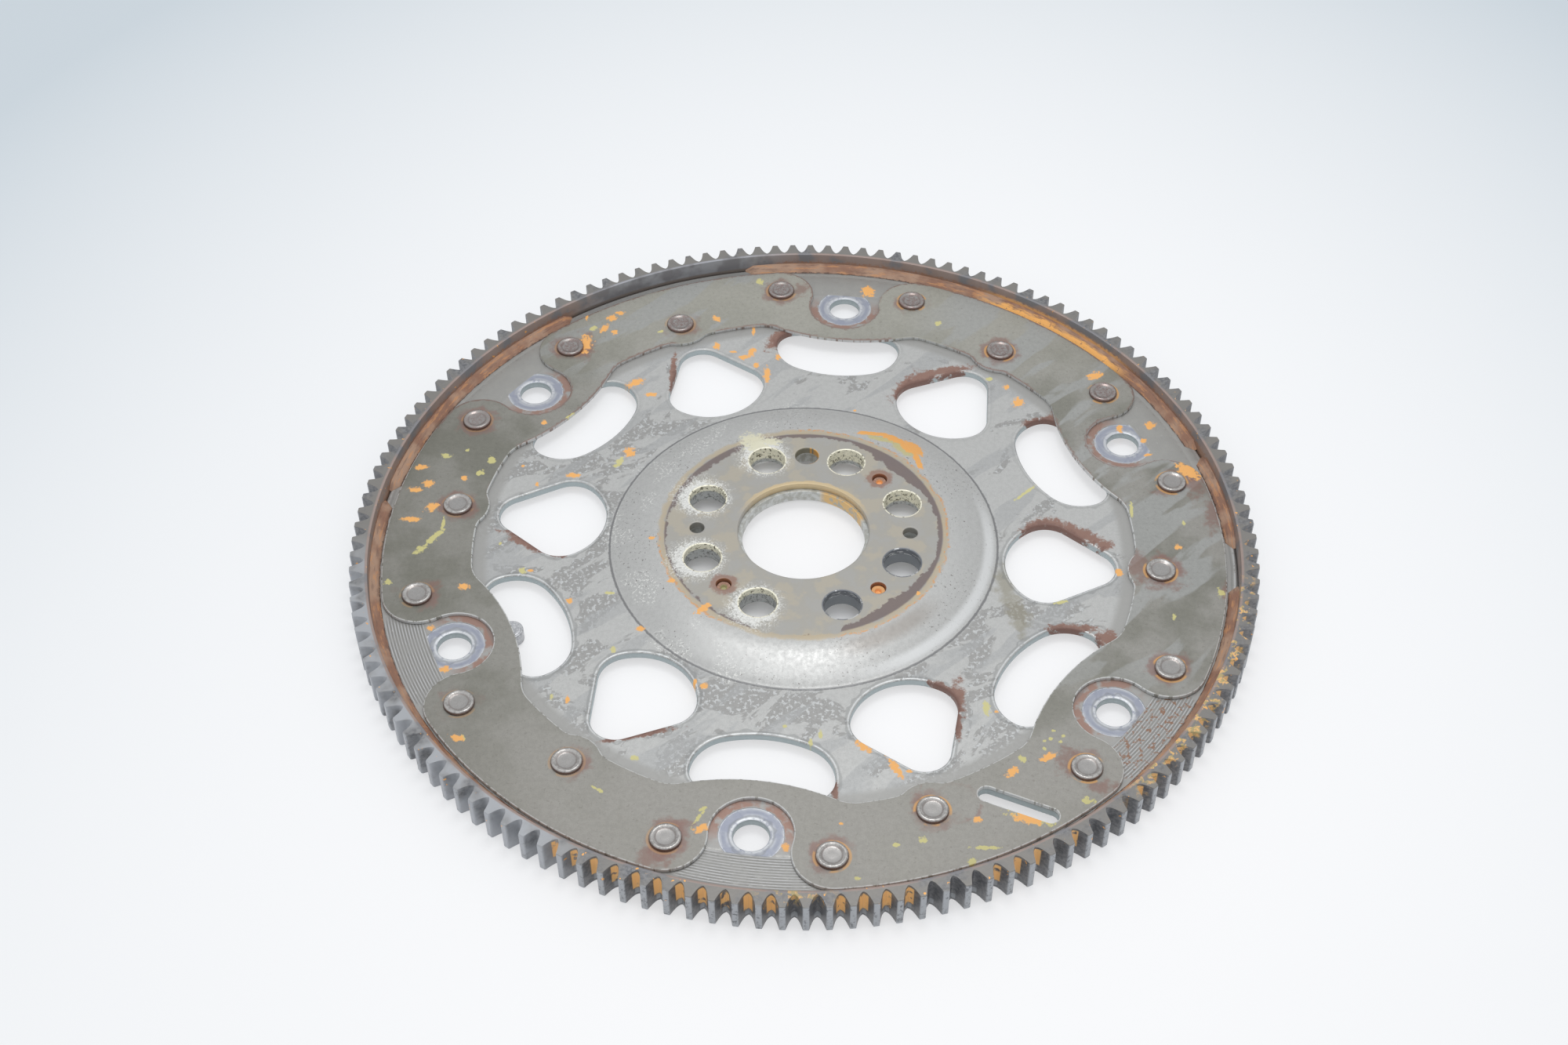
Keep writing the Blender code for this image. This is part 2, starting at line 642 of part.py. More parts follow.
def make_weld_beads(parts, steel):
    for index, (start, end) in enumerate(WELD_ARCS):
        turn = math.radians(start)
        work = bmesh.new()
        section = []
        for radius, height in weld_profile():
            place = (radius * math.cos(turn), radius * math.sin(turn), height)
            section.append(work.verts.new(place))
        face = work.faces.new(section)
        bmesh.ops.spin(
            work,
            geom=[face, *face.edges, *face.verts],
            axis=(0.0, 0.0, 1.0),
            angle=math.radians(end - start),
            steps=math.ceil((end - start) / WIDE_ARC_STEP),
        )
        bmesh.ops.recalc_face_normals(work, faces=work.faces)
        mesh = bpy.data.meshes.new(f"weld_bead_{index + 1}")
        work.to_mesh(mesh)
        work.free()
        bead = bpy.data.objects.new(mesh.name, mesh)
        parts.objects.link(bead)
        finish(bead, steel, 50.0)


def main():
    clear_scene()
    parts = new_collection("flexplate")
    cutters = new_collection("flexplate_cutters")
    gear_steel = new_material("gear_steel", (0.115, 0.115, 0.12), 0.42, 0.85)
    disc_steel = new_material("disc_steel", (0.42, 0.42, 0.42), 0.45, 0.6)
    ring_steel = new_material("ring_steel", (0.26, 0.26, 0.235), 0.5, 0.5)
    rivet_steel = new_material("rivet_steel", (0.36, 0.34, 0.33), 0.38, 0.8)
    hub_steel = new_material("hub_steel", (0.33, 0.32, 0.3), 0.5, 0.6)
    pin_steel = new_material("pin_steel", (0.3, 0.2, 0.14), 0.7, 0.3)
    slug_steel = new_material("slug_steel", (0.45, 0.45, 0.46), 0.4, 0.8)
    weld_steel = new_material("weld_steel", (0.16, 0.13, 0.11), 0.6, 0.5)
    make_ring_gear(parts, gear_steel)
    make_flex_disc(parts, cutters, disc_steel)
    make_reinforcing_ring(parts, ring_steel)
    make_outer_rivets(parts, rivet_steel)
    make_hub_plate(parts, hub_steel)
    make_hub_pins(parts, pin_steel)
    make_balance_slug(parts, slug_steel)
    make_weld_beads(parts, weld_steel)


main()
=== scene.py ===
"""Looks of the flexplate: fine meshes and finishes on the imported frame, floor, lights and camera.

Metres, +Z up, in the frame of the part: the Z axis is the axis of rotation and Z = 0 is the plane
that the ring gear lies on. Angles are degrees, anticlockwise from +X seen from above.
"""

import math
import random

import bpy
import numpy as np
from mathutils import Matrix, Vector, kdtree, noise
from mathutils.geometry import delaunay_2d_cdt


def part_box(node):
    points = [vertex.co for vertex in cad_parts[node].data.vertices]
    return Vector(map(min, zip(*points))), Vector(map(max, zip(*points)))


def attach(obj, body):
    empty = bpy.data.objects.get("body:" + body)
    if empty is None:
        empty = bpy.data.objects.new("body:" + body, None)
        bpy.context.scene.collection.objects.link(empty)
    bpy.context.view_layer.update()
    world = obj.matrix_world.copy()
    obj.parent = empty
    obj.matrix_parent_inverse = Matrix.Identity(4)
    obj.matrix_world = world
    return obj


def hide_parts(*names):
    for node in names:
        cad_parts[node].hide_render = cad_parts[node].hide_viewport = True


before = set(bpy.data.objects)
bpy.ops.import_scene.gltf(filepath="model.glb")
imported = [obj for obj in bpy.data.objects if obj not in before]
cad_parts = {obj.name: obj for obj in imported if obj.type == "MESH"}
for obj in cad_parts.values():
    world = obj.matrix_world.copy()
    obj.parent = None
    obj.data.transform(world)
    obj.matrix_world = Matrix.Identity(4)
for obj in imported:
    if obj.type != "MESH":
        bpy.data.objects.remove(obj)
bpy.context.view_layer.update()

MM = 0.001
BODY = "root"
AXIS = (0.0, 0.0)
random.seed(7)

# Heights, from the frame
GEAR_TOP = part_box("ring_gear")[1][2]
DISC_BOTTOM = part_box("flex_disc")[0][2]
HUB_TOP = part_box("flex_disc")[1][2]
DISC_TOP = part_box("balance_slug")[1][2]
RING_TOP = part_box("reinforcing_ring")[1][2]
RIVET_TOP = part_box("outer_rivet_01")[1][2]
HUB_PLATE_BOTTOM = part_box("hub_plate")[0][2]
PIN_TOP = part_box("hub_pin_45")[1][2]
DISC_THICKNESS = DISC_TOP - DISC_BOTTOM
HAIR_GAP = 0.03 * MM  # left between pieces that look seated

# Radii, from the frame
TIP_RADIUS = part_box("ring_gear")[1][0]
DISC_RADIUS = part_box("flex_disc")[1][0]
HUB_PLATE_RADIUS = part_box("hub_plate")[1][0]

# Ring gear
TEETH = 139
TOOTH_DEPTH = 4.55 * MM
TOOTH_PHASE = 0.25
GEAR_BORE = 143.2 * MM
# Half of a tooth's width at depths below its tip
TOOTH_FLANK = ((0.0, 0.78), (0.16, 0.93), (0.9, 1.16), (1.8, 1.46), (2.7, 1.8), (3.5, 2.18),
               (4.05, 2.58), (4.4, 2.98))

# Disc
DISH_OUTER_RADIUS = 64.5 * MM
HUB_FLAT_RADIUS = 46.8 * MM
BORE_RADIUS = 21.8 * MM
GROOVE_INNER_RADIUS = 127.7 * MM
GROOVE_OUTER_RADIUS = 139.2 * MM
GROOVE_PITCH = 0.96 * MM
GROOVE_DEPTH = 0.13 * MM
GROOVE_REACH = 24  # steps to either side of a bolt hole
GROOVE_STEP = 0.4  # degrees
GROOVE_SHIFT = 0.02 * MM  # sets the rows just past the inner radius
DISH_STEPS = 240  # points round the dish

# Converter bolt holes
HOLES = 6
CONVERTER_CIRCLE = 120.5 * MM
CONVERTER_PHASE = 24.6
CONVERTER_HOLE_RADIUS = 5.4 * MM
PAD_RADIUS = 9.8 * MM
PAD_SINK = 0.15 * MM

# Windows
KIDNEY_SHOULDER = 98.2 * MM
KIDNEY_HALF_WIDTH = 22.2 * MM
KIDNEY_OUTER_CORNER = 7.2 * MM
KIDNEY_INNER_CORNER = 13.3 * MM
KIDNEY_FLOOR_ARC = 39.8 * MM
TRIANGLE_SHOULDER = 80.7 * MM
TRIANGLE_HALF_WIDTH = 17.35 * MM
TRIANGLE_CORNER = 9.65 * MM
TRIANGLE_NOSE_RADIUS = 8.3 * MM
TRIANGLE_NOSE_CENTRE = 95.05 * MM
TRIANGLE_FLOOR_ARC = 19.3 * MM

# Reinforcing ring
RING_OUTER_RADIUS = 139.5 * MM
RING_INNER_RADIUS = 109.8 * MM
CUTOUT_RADIUS = 12.65 * MM
CUTOUT_SHOULDER = 12.65 * MM
LOBE_TIP = 101.3 * MM
LOBE_ARC = 72.3 * MM
LOBE_FILLET = 12.0 * MM
EAR_RADIUS = 10.7 * MM
EAR_FILLET = 6.0 * MM
SLOT_CENTRE_RADIUS = 126.5 * MM
SLOT_CENTRE_ANGLE = 302.15
SLOT_DIRECTION = -21.3
SLOT_LENGTH = 25.2 * MM
SLOT_WIDTH = 5.4 * MM

# Rivets, pins and slug
PAIR_RIVET_CIRCLE = 128.2 * MM
PAIR_RIVET_SPREAD = 11.04
SINGLE_RIVET_CIRCLE = 117.9 * MM
SLOT_RIVET_SHIFT = 3.8
SLOT_RIVET_INDEX = 4
RIVET_HOLE_RADIUS = 2.7 * MM
RIVET_HEAD_RADIUS = 4.9 * MM
HUB_CIRCLE = 35.4 * MM
CRANK_HOLES = 8
CRANK_PHASE = 22.5
CRANK_HOLE_RADIUS = 6.1 * MM
DOWEL_ANGLES = (0.0, 180.0)
DOWEL_RADIUS = 2.45 * MM
INDEX_HOLE_ANGLE = 90.0
INDEX_HOLE_RADIUS = 3.95 * MM
HUB_PIN_ANGLES = (45.0, 225.0, 315.0)
HUB_PIN_HOLE_RADIUS = 2.45 * MM
HUB_PLATE_BORE = 20.5 * MM
SLUG_CIRCLE = 101.6 * MM
SLUG_ANGLE = 204.8
SLUG_RADIUS = 3.8 * MM

# Weld beads: start and end angles
WELD_ARCS = ((0.3, 17.8), (19.5, 100.8), (129.0, 172.7), (174.7, 353.4))
WELD_TOE_RADIUS = 139.95 * MM
WELD_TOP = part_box("weld_bead_1")[1][2]

# Camera, from a fit to the photograph's bolt holes, rivets and teeth
SENSOR_WIDTH = 36.0
CAMERA_LENS = 47.79
CAMERA_PLACE = Vector((15.63, -478.41, 507.66)) * MM
CAMERA_AIM = Vector((-6.81, 7.90, 5.30)) * MM
CAMERA_ROLL = -0.49

# Lights
TENT_SIDE = 0.74
TENT_TOP = 0.9
TENT_SEEN = 0.93
TENT_RISE = (0.55, 0.98)  # rise of a direction, 1 straight up, over which side turns to top
TENT_COLOUR = (0.96, 0.98, 1.0, 1.0)
LAMP_PLACE = (0.02, 0.1, 0.75)
LAMP_SIZE = 0.3
LAMP_ENERGY = 1.2
FLOOR_GLOW = 0.55  # share of the floor's colour that shadows leave
FLOOR_BRIGHTEST = (20.0, -50.0)  # the tabletop's palest point, in millimetres
FLOOR_SIDE_FALL = 1.3  # how much faster it darkens to the sides than to the back
FLOOR_DIM_RADIUS = 560.0  # where it is darkest, in millimetres to the back
FLOOR_DIM_END = 700.0
FLOOR_PALE_AGAIN = 2600.0
FLOOR_FRONT = (-500.0, 140.0)  # over which the darkening sets in towards the back


# Stains, from marks made on the photograph and turned into whole millimetres: centre x and y,
# length and width, and the angle of the length in steps of 15 degrees where it isn't 0. Each list
# goes from the left over the back and the right to the front.
RING_ORANGE = (
    (-133, 29, 4, 2), (-129, 21, 3, 3, -45), (-133, 18, 4, 2), (-126, 10, 4, 3, 45), (-132, 4, 5, 2),
    (-117, 24, 2, 2), (-110, -26, 3, 2), (-103, -88, 4, 2, -15), (-93, 53, 2, 2), (-83, 95, 4, 8),
    (-84, 111, 1, 4), (-77, 104, 4, 2, 60), (-75, 110, 3, 3), (-73, 102, 2, 2), (-72, 113, 3, 2),
    (-36, 111, 3, 2, -45), (12, 136, 2, 3), (102, 84, 5, 3, 30), (131, 36, 8, 5, -45), (124, 0, 2, 2),
    (92, -109, 2, 2), (77, -89, 4, 2, 30), (66, -95, 4, 2, 45), (70, -112, 8, 3, -15), (55, -113, 2, 2),
    (15, -116, 1, 1), (-26, -119, 4, 2, 30),
)
RING_YELLOW = (
    (-125, 35, 3, 2, -15), (-118, 38, 1, 1), (-112, 27, 2, 2, 45), (-109, 33, 2, 3), (-121, 2, 1, 6),
    (-123, -4, 9, 2, 60), (-127, -10, 4, 2, 45), (-135, -25, 2, 2), (-101, -88, 2, 1, -45),
    (-84, 57, 3, 1, 45), (-81, 104, 2, 2), (-56, 103, 2, 1, 30), (-21, 133, 2, 3), (46, 111, 2, 2),
    (127, 11, 1, 2), (110, 17, 1, 5), (120, -31, 1, 2), (136, -20, 2, 3), (88, -105, 3, 2),
    (79, -79, 1, 1), (82, -81, 1, 1), (81, -83, 1, 1), (78, -82, 1, 1), (76, -83, 1, 1),
    (76, -86, 1, 1), (69, -90, 2, 2), (71, -112, 11, 3, -15), (57, -123, 6, 1), (53, -128, 2, 2),
    (39, -121, 2, 2), (31, -123, 2, 1), (20, -135, 2, 1), (-27, -115, 6, 1, 60), (-26, -112, 2, 1, 30),
    (-58, -106, 3, 1, -30),
)
RING_RUST = (
    (-120, -28, 4, 8), (-83, 94, 6, 10), (-5, 129, 5, 6), (133, 30, 5, 12), (122, 26, 8, 3),
    (137, 15, 5, 12), (138, -20, 3, 7), (110, -10, 7, 11), (117, -12, 11, 11), (84, -91, 7, 8),
    (93, -100, 8, 4), (38, -108, 4, 8), (-34, -118, 8, 4), (-39, -130, 9, 6), (-68, -94, 7, 5),
)
DISC_ORANGE = (
    (-118, -43, 2, 2), (-111, -60, 3, 2, 15), (-89, -17, 2, 1), (-75, -30, 2, 2), (-51, -41, 2, 2),
    (-71, -71, 1, 3), (-80, 28, 4, 2), (-92, 23, 1, 2), (-98, 32, 1, 1), (-62, 40, 3, 4),
    (-63, 76, 5, 3, 30), (-57, 70, 3, 2), (-35, 97, 2, 3), (-29, 94, 2, 1), (-25, 91, 3, 2),
    (-22, 94, 5, 2, 75), (-22, 106, 1, 4), (-20, 87, 2, 2), (-16, 82, 2, 7), (-12, 92, 2, 3),
    (16, 64, 1, 1), (20, 130, 4, 5), (74, 70, 3, 4), (70, 78, 2, 2), (120, 60, 3, 3), (109, 58, 2, 3),
    (117, 52, 2, 2), (118, 45, 3, 1, 15), (104, -11, 2, 3), (62, -71, 1, 1), (35, -95, 2, 1),
    (31, -94, 7, 2, -60), (21, -86, 5, 2, -45), (-1, -124, 2, 2), (-29, -64, 2, 2), (-32, -63, 1, 3),
)
DISC_YELLOW = (
    (-101, -5, 1, 1), (-92, -17, 2, 2), (-62, -26, 3, 1), (-59, -50, 2, 2), (-76, -70, 1, 2),
    (-48, -93, 2, 2), (-65, 35, 4, 2, 60), (64, 82, 2, 2), (75, 25, 9, 1, 45), (84, -25, 4, 1, 15),
    (59, -70, 2, 4), (8, -82, 1, 3), (5, -85, 1, 2), (-3, -79, 1, 1),
)
DISH_ORANGE = ((-50, -5, 2, 1), (-42, -24, 2, 2), (-31, -36, 5, 2, 45), (38, -27, 1, 1))
WINDOW_RUST = (
    (-92, -4, 16, 4, -30), (-83, -9, 8, 2, -15), (-50, 82, 2, 16), (-12, 102, 12, 6, 60),
    (34, 77, 14, 5, 60), (40, 82, 12, 6, 30), (49, 86, 14, 4, 15), (82, 61, 12, 3, 15), (86, 62, 4, 5),
    (77, 8, 12, 5, 45), (84, 10, 8, 5, -15), (92, 6, 16, 5, -30), (100, 1, 5, 4), (87, -36, 14, 3),
    (98, -40, 6, 6, -45), (50, -67, 4, 14), (45, -62, 8, 3, -30), (50, -75, 2, 12), (13, -103, 2, 6),
    (-48, -84, 18, 2, 15),
)
DRIP = ((67, -17, 6, 12), (70, -30, 5, 16, 15))
HUB_ORANGE = ((23, 48, 10, 2), (30, 46, 9, 3, -30), (36, 42, 8, 5, -45), (38, 35, 9, 2, -75))
HUB_YELLOW = ((26, 45, 12, 2, -15), (33, 41, 9, 4, -45))
HOLE_CREAM = ((-18, 41, 10, 6, -45), (-13, 42, 6, 3))


def converter_angles():
    return [CONVERTER_PHASE + 360.0 / HOLES * index for index in range(HOLES)]


def single_rivet_angles():
    angles = [angle + 180.0 / HOLES for angle in converter_angles()]
    angles[SLOT_RIVET_INDEX] -= SLOT_RIVET_SHIFT
    return angles


def outer_rivet_places():
    """Radius and angle of every outer rivet, in the order of the frame's nodes."""
    places = []
    for hole, single in zip(converter_angles(), single_rivet_angles()):
        places.append((PAIR_RIVET_CIRCLE, hole - PAIR_RIVET_SPREAD))
        places.append((PAIR_RIVET_CIRCLE, hole + PAIR_RIVET_SPREAD))
        places.append((SINGLE_RIVET_CIRCLE, single))
    return places


def crank_angles():
    return [CRANK_PHASE + 360.0 / CRANK_HOLES * index for index in range(CRANK_HOLES)]


def polar(radius, angle):
    turn = math.radians(angle)
    return (radius * math.cos(turn), radius * math.sin(turn))


def arc(centre, radius, start, end, step):
    """Points on an arc from start to end, both included, about step metres apart."""
    count = max(2, math.ceil(abs(math.radians(end - start)) * radius / step))
    points = []
    for index in range(count + 1):
        x, y = polar(radius, start + (end - start) * index / count)
        points.append((centre[0] + x, centre[1] + y))
    return points


def line(start, end, step):
    """Points between two ends, without the ends."""
    count = math.ceil(math.dist(start, end) / step)
    return [
        (start[0] + (end[0] - start[0]) * index / count, start[1] + (end[1] - start[1]) * index / count)
        for index in range(1, count)
    ]


def circle(centre, radius, step=0.8 * MM):
    return arc(centre, radius, 0.0, 360.0, step)[:-1]


def placed_on_radius(points, angle):
    """Turns points drawn about the +Y radius so that they lie about the radius at this angle."""
    turn = math.radians(angle - 90.0)
    cosine, sine = math.cos(turn), math.sin(turn)
    return [(x * cosine - y * sine, x * sine + y * cosine) for x, y in points]


def mirrored(points):
    return points + [(-x, y) for x, y in reversed(points[1:-1])]


def kidney_outline(step=1.0 * MM):
    outer_centre = (KIDNEY_HALF_WIDTH - KIDNEY_OUTER_CORNER, KIDNEY_SHOULDER)
    inner_centre = (KIDNEY_HALF_WIDTH - KIDNEY_INNER_CORNER, KIDNEY_SHOULDER)
    floor_lift = math.sqrt((KIDNEY_FLOOR_ARC - KIDNEY_INNER_CORNER) ** 2 - inner_centre[0] ** 2)
    roof_radius = math.hypot(*outer_centre) + KIDNEY_OUTER_CORNER
    roof_end = math.degrees(math.atan2(outer_centre[1], outer_centre[0]))
    floor_start = -math.degrees(math.atan2(floor_lift, inner_centre[0]))
    half = arc(AXIS, roof_radius, 90.0, roof_end, step)
    half += arc(outer_centre, KIDNEY_OUTER_CORNER, roof_end, 0.0, step)[1:]
    half += arc(inner_centre, KIDNEY_INNER_CORNER, 0.0, floor_start, step)[1:]
    half += arc((0.0, KIDNEY_SHOULDER + floor_lift), KIDNEY_FLOOR_ARC, floor_start, -90.0, step)[1:]
    return mirrored(half)


def triangle_outline(step=1.0 * MM):
    nose = (0.0, TRIANGLE_NOSE_CENTRE)
    corner = (TRIANGLE_HALF_WIDTH - TRIANGLE_CORNER, TRIANGLE_SHOULDER)
    run = (corner[0] - nose[0], corner[1] - nose[1])
    heading = math.degrees(math.atan2(run[1], run[0]))
    lean = math.degrees(math.acos((TRIANGLE_NOSE_RADIUS - TRIANGLE_CORNER) / math.hypot(*run)))
    flank = heading + lean
    floor_lift = math.sqrt((TRIANGLE_FLOOR_ARC - TRIANGLE_CORNER) ** 2 - corner[0] ** 2)
    floor_start = -math.degrees(math.atan2(floor_lift, corner[0]))
    floor_centre = (0.0, TRIANGLE_SHOULDER + floor_lift)
    half = arc(nose, TRIANGLE_NOSE_RADIUS, 90.0, flank, step)
    corner_arc = arc(corner, TRIANGLE_CORNER, flank, floor_start, step)
    half += line(half[-1], corner_arc[0], step) + corner_arc
    half += arc(floor_centre, TRIANGLE_FLOOR_ARC, floor_start, -90.0, step)[1:]
    return mirrored(half)


def dip_outline(base_radius, centre_radius, arc_radius, fillet, step):
    """A round dip towards the axis in a circle about the axis, drawn about the +Y radius."""
    fillet_circle = base_radius - fillet
    reach = arc_radius + fillet
    y = (fillet_circle ** 2 - reach ** 2 + centre_radius ** 2) / (2.0 * centre_radius)
    x = math.sqrt(fillet_circle ** 2 - y ** 2)
    outward = math.degrees(math.atan2(x, y))
    swing = math.degrees(math.atan2(x, centre_radius - y))
    points = arc((x, y), fillet, 90.0 - outward, 90.0 + swing, step)
    points += arc((0.0, centre_radius), arc_radius, swing - 90.0, -90.0 - swing, step)[1:-1]
    points += arc((-x, y), fillet, 90.0 - swing, 90.0 + outward, step)
    return points


def dipped_circle(base_radius, dips, step=1.0 * MM):
    """A circle about the axis with dips in it: each is an angle, a centre, an arc and a fillet."""
    points = []
    ordered = sorted(dips)
    for index, (angle, *shape) in enumerate(ordered):
        following_angle, *following_shape = ordered[(index + 1) % len(ordered)]
        dip = placed_on_radius(dip_outline(base_radius, *shape, step), angle)
        next_dip = placed_on_radius(dip_outline(base_radius, *following_shape, step), following_angle)
        start = math.degrees(math.atan2(dip[-1][1], dip[-1][0]))
        end = math.degrees(math.atan2(next_dip[0][1], next_dip[0][0]))
        end += 360.0 * math.ceil((start - end) / 360.0)
        points += dip
        points += arc(AXIS, base_radius, start, end, step)[1:-1]
    return points


def slot_outline(step=0.6 * MM):
    half_run = SLOT_LENGTH / 2.0 - SLOT_WIDTH / 2.0
    centre = polar(SLOT_CENTRE_RADIUS, SLOT_CENTRE_ANGLE)
    along = polar(half_run, SLOT_DIRECTION)
    far = (centre[0] + along[0], centre[1] + along[1])
    near = (centre[0] - along[0], centre[1] - along[1])
    first = arc(far, SLOT_WIDTH / 2.0, SLOT_DIRECTION - 90.0, SLOT_DIRECTION + 90.0, step)
    second = arc(near, SLOT_WIDTH / 2.0, SLOT_DIRECTION + 90.0, SLOT_DIRECTION + 270.0, step)
    return first + line(first[-1], second[0], step) + second + line(second[-1], first[0], step)


def signed_area(points):
    area = 0.0
    for (x0, y0), (x1, y1) in zip(points, points[1:] + points[:1]):
        area += x0 * y1 - x1 * y0
    return area / 2.0


def offset_outline(points, distance):
    """Moves an anticlockwise outline to its left by this distance."""
    moved = []
    count = len(points)
    for index, (x, y) in enumerate(points):
        before = Vector(points[index - 1])
        after = Vector(points[(index + 1) % count])
        along = (after - before).normalized()
        moved.append((x - along.y * distance, y + along.x * distance))
    return moved


def edge_profile(thickness, top_roll, bottom_roll, steps=4):
    """Section of a sheet's edge: distance into the sheet and depth below its upper face."""
    support = 0.35 * MM
    profile = [(top_roll + support, 0.0)]
    for index in range(steps + 1):
        turn = math.pi / 2.0 * index / steps
        profile.append((top_roll * (1.0 - math.sin(turn)), top_roll * (1.0 - math.cos(turn))))
    for index in range(steps + 1):
        turn = math.pi / 2.0 * (1.0 - index / steps)
        depth = thickness - bottom_roll * (1.0 - math.cos(turn))
        profile.append((bottom_roll * (1.0 - math.sin(turn)), depth))
    profile.append((bottom_roll + support, thickness))
    return profile


def inside(points, outline):
    """Which of the points (an array of x and y) lie inside the outline."""
    x, y = points[:, 0], points[:, 1]
    odd = np.zeros(len(points), dtype=bool)
    for (x0, y0), (x1, y1) in zip(outline, outline[1:] + outline[:1]):
        if y0 == y1:
            continue
        crosses = (y0 > y) != (y1 > y)
        odd ^= crosses & (x < (x1 - x0) * (y - y0) / (y1 - y0) + x0)
    return odd


def placed(name, data):
    """An object in the scene with this data."""
    item = bpy.data.objects.new(name, data)
    bpy.context.scene.collection.objects.link(item)
    return item


def new_piece(name, vertices, faces, sharp=35.0):
    mesh = bpy.data.meshes.new(name)
    mesh.from_pydata(vertices, [], faces)
    mesh.validate()
    mesh.shade_smooth()
    mesh.set_sharp_from_angle(angle=math.radians(sharp))
    return placed(name, mesh)


def strip(first, second):
    """Faces between two closed rows of points, given as numbers of vertices."""
    following = [*range(1, len(first)), 0]
    pairs = enumerate(following)
    return [(first[here], second[here], second[after], first[after]) for here, after in pairs]


def inside_sheet(points, outlines):
    """Which of the points lie inside the first outline and outside the others."""
    keep = inside(points, outlines[0])
    for hole in outlines[1:]:
        keep &= ~inside(points, hole)
    return keep


def sheet(name, edges, inner_points, height, thickness, margin=1.3 * MM):
    """A pressed sheet with shaped edges.

    edges holds pairs of an outline and the section of its edge, the outer outline first. height
    gives the upper face's height at a point. The points get an attribute, edge, with their
    distance from the nearest edge.
    """
    vertices, faces, distances, flat, bounds, outlines, upper_of, lower_of = ([] for _ in range(8))
    for index, (outline, profile) in enumerate(edges):
        if signed_area(outline) < 0.0:
            outline = outline[::-1]
        side = 1.0 if index == 0 else -1.0
        rows = []
        for reach, depth in profile:
            row = offset_outline(outline, side * reach)
            rows.append(range(len(vertices), len(vertices) + len(row)))
            vertices += [(x, y, height(x, y) - depth) for x, y in row]
            distances += [reach] * len(row)
        for upper, lower in zip(rows, rows[1:]):
            faces += [quad if side > 0.0 else quad[::-1] for quad in strip(upper, lower)]
        outlines.append([vertices[item][:2] for item in rows[0]])
        count = len(rows[0])
        bounds += [(len(flat) + item, len(flat) + (item + 1) % count) for item in range(count)]
        flat += outlines[-1]
        upper_of += rows[0]
        lower_of += rows[-1]
    tree = kdtree.KDTree(len(flat))
    for index, point in enumerate(flat):
        tree.insert((*point, 0.0), index)
    tree.balance()
    points = np.array(inner_points)
    inner, inner_distances = [], []
    for x, y in points[inside_sheet(points, outlines)]:
        distance = tree.find((x, y, 0.0))[2]
        if distance > margin:
            inner.append((x, y))
            inner_distances.append(distance)
    corners = [Vector(point) for point in flat + inner]
    made, _, triangles, origins, _, _ = delaunay_2d_cdt(corners, bounds, [], 0, 1e-7)
    centres = np.array([sum((made[item] for item in face), Vector((0.0, 0.0))) / 3.0 for face in triangles])
    first_inner = len(vertices)
    vertices += [(x, y, height(x, y)) for x, y in inner]
    vertices += [(x, y, height(x, y) - thickness) for x, y in inner]
    distances += inner_distances + inner_distances
    upper_of += range(first_inner, first_inner + len(inner))
    lower_of += range(first_inner + len(inner), first_inner + 2 * len(inner))
    for face, is_solid in zip(triangles, inside_sheet(centres, outlines)):
        if is_solid:
            numbers = [origins[item][0] for item in face]
            faces.append([upper_of[item] for item in numbers])
            faces.append([lower_of[item] for item in reversed(numbers)])
    piece = new_piece(name, vertices, faces)
    attribute = piece.data.attributes.new("edge", "FLOAT", "POINT")
    attribute.data.foreach_set("value", distances)
    return piece


def ring_of(radius, count):
    """Points all round the axis."""
    return [polar(radius, 360.0 * index / count) for index in range(count)]


def ring_points(radii, spacing):
    points = []
    for radius in radii:
        points += ring_of(radius, max(12, round(2.0 * math.pi * radius / spacing)))
    return points


def turned(name, profile, steps, sharp=35.0):
    """A solid turned about its own axis; the profile starts and ends on the axis."""
    vertices, faces, rows = [], [], []
    for radius, height in profile:
        if radius == 0.0:
            rows.append([len(vertices)] * steps)
            vertices.append((0.0, 0.0, height))
            continue
        rows.append(range(len(vertices), len(vertices) + steps))
        vertices += [(x, y, height) for x, y in ring_of(radius, steps)]
    for upper, lower in zip(rows, rows[1:]):
        faces += [list(dict.fromkeys(quad)) for quad in strip(upper, lower)]
    return new_piece(name, vertices, faces, sharp)


def dish_height(x, y):
    """Height of the disc's upper face: flat web, pressed shoulder, flat hub, pads and grooves."""
    radius = math.hypot(x, y)
    if GROOVE_INNER_RADIUS - 2.0 * PAD_RADIUS < radius < GROOVE_INNER_RADIUS:
        turn = math.atan2(y, x) - math.radians(CONVERTER_PHASE)
        turn -= round(turn / math.radians(360.0 / HOLES)) * math.radians(360.0 / HOLES)
        if math.hypot(radius * math.cos(turn) - CONVERTER_CIRCLE, radius * math.sin(turn)) < PAD_RADIUS:
            return DISC_TOP - PAD_SINK
    if radius >= DISH_OUTER_RADIUS:
        height = DISC_TOP
    elif radius <= HUB_FLAT_RADIUS:
        height = HUB_TOP
    else:
        share = (DISH_OUTER_RADIUS - radius) / (DISH_OUTER_RADIUS - HUB_FLAT_RADIUS)
        height = DISC_TOP + (HUB_TOP - DISC_TOP) * math.sin(math.pi / 2.0 * share)
    if GROOVE_INNER_RADIUS < radius < GROOVE_OUTER_RADIUS:
        phase = (radius - GROOVE_INNER_RADIUS) / GROOVE_PITCH % 1.0
        height -= GROOVE_DEPTH * (0.15 + abs(2.0 * phase - 1.0))
    return height


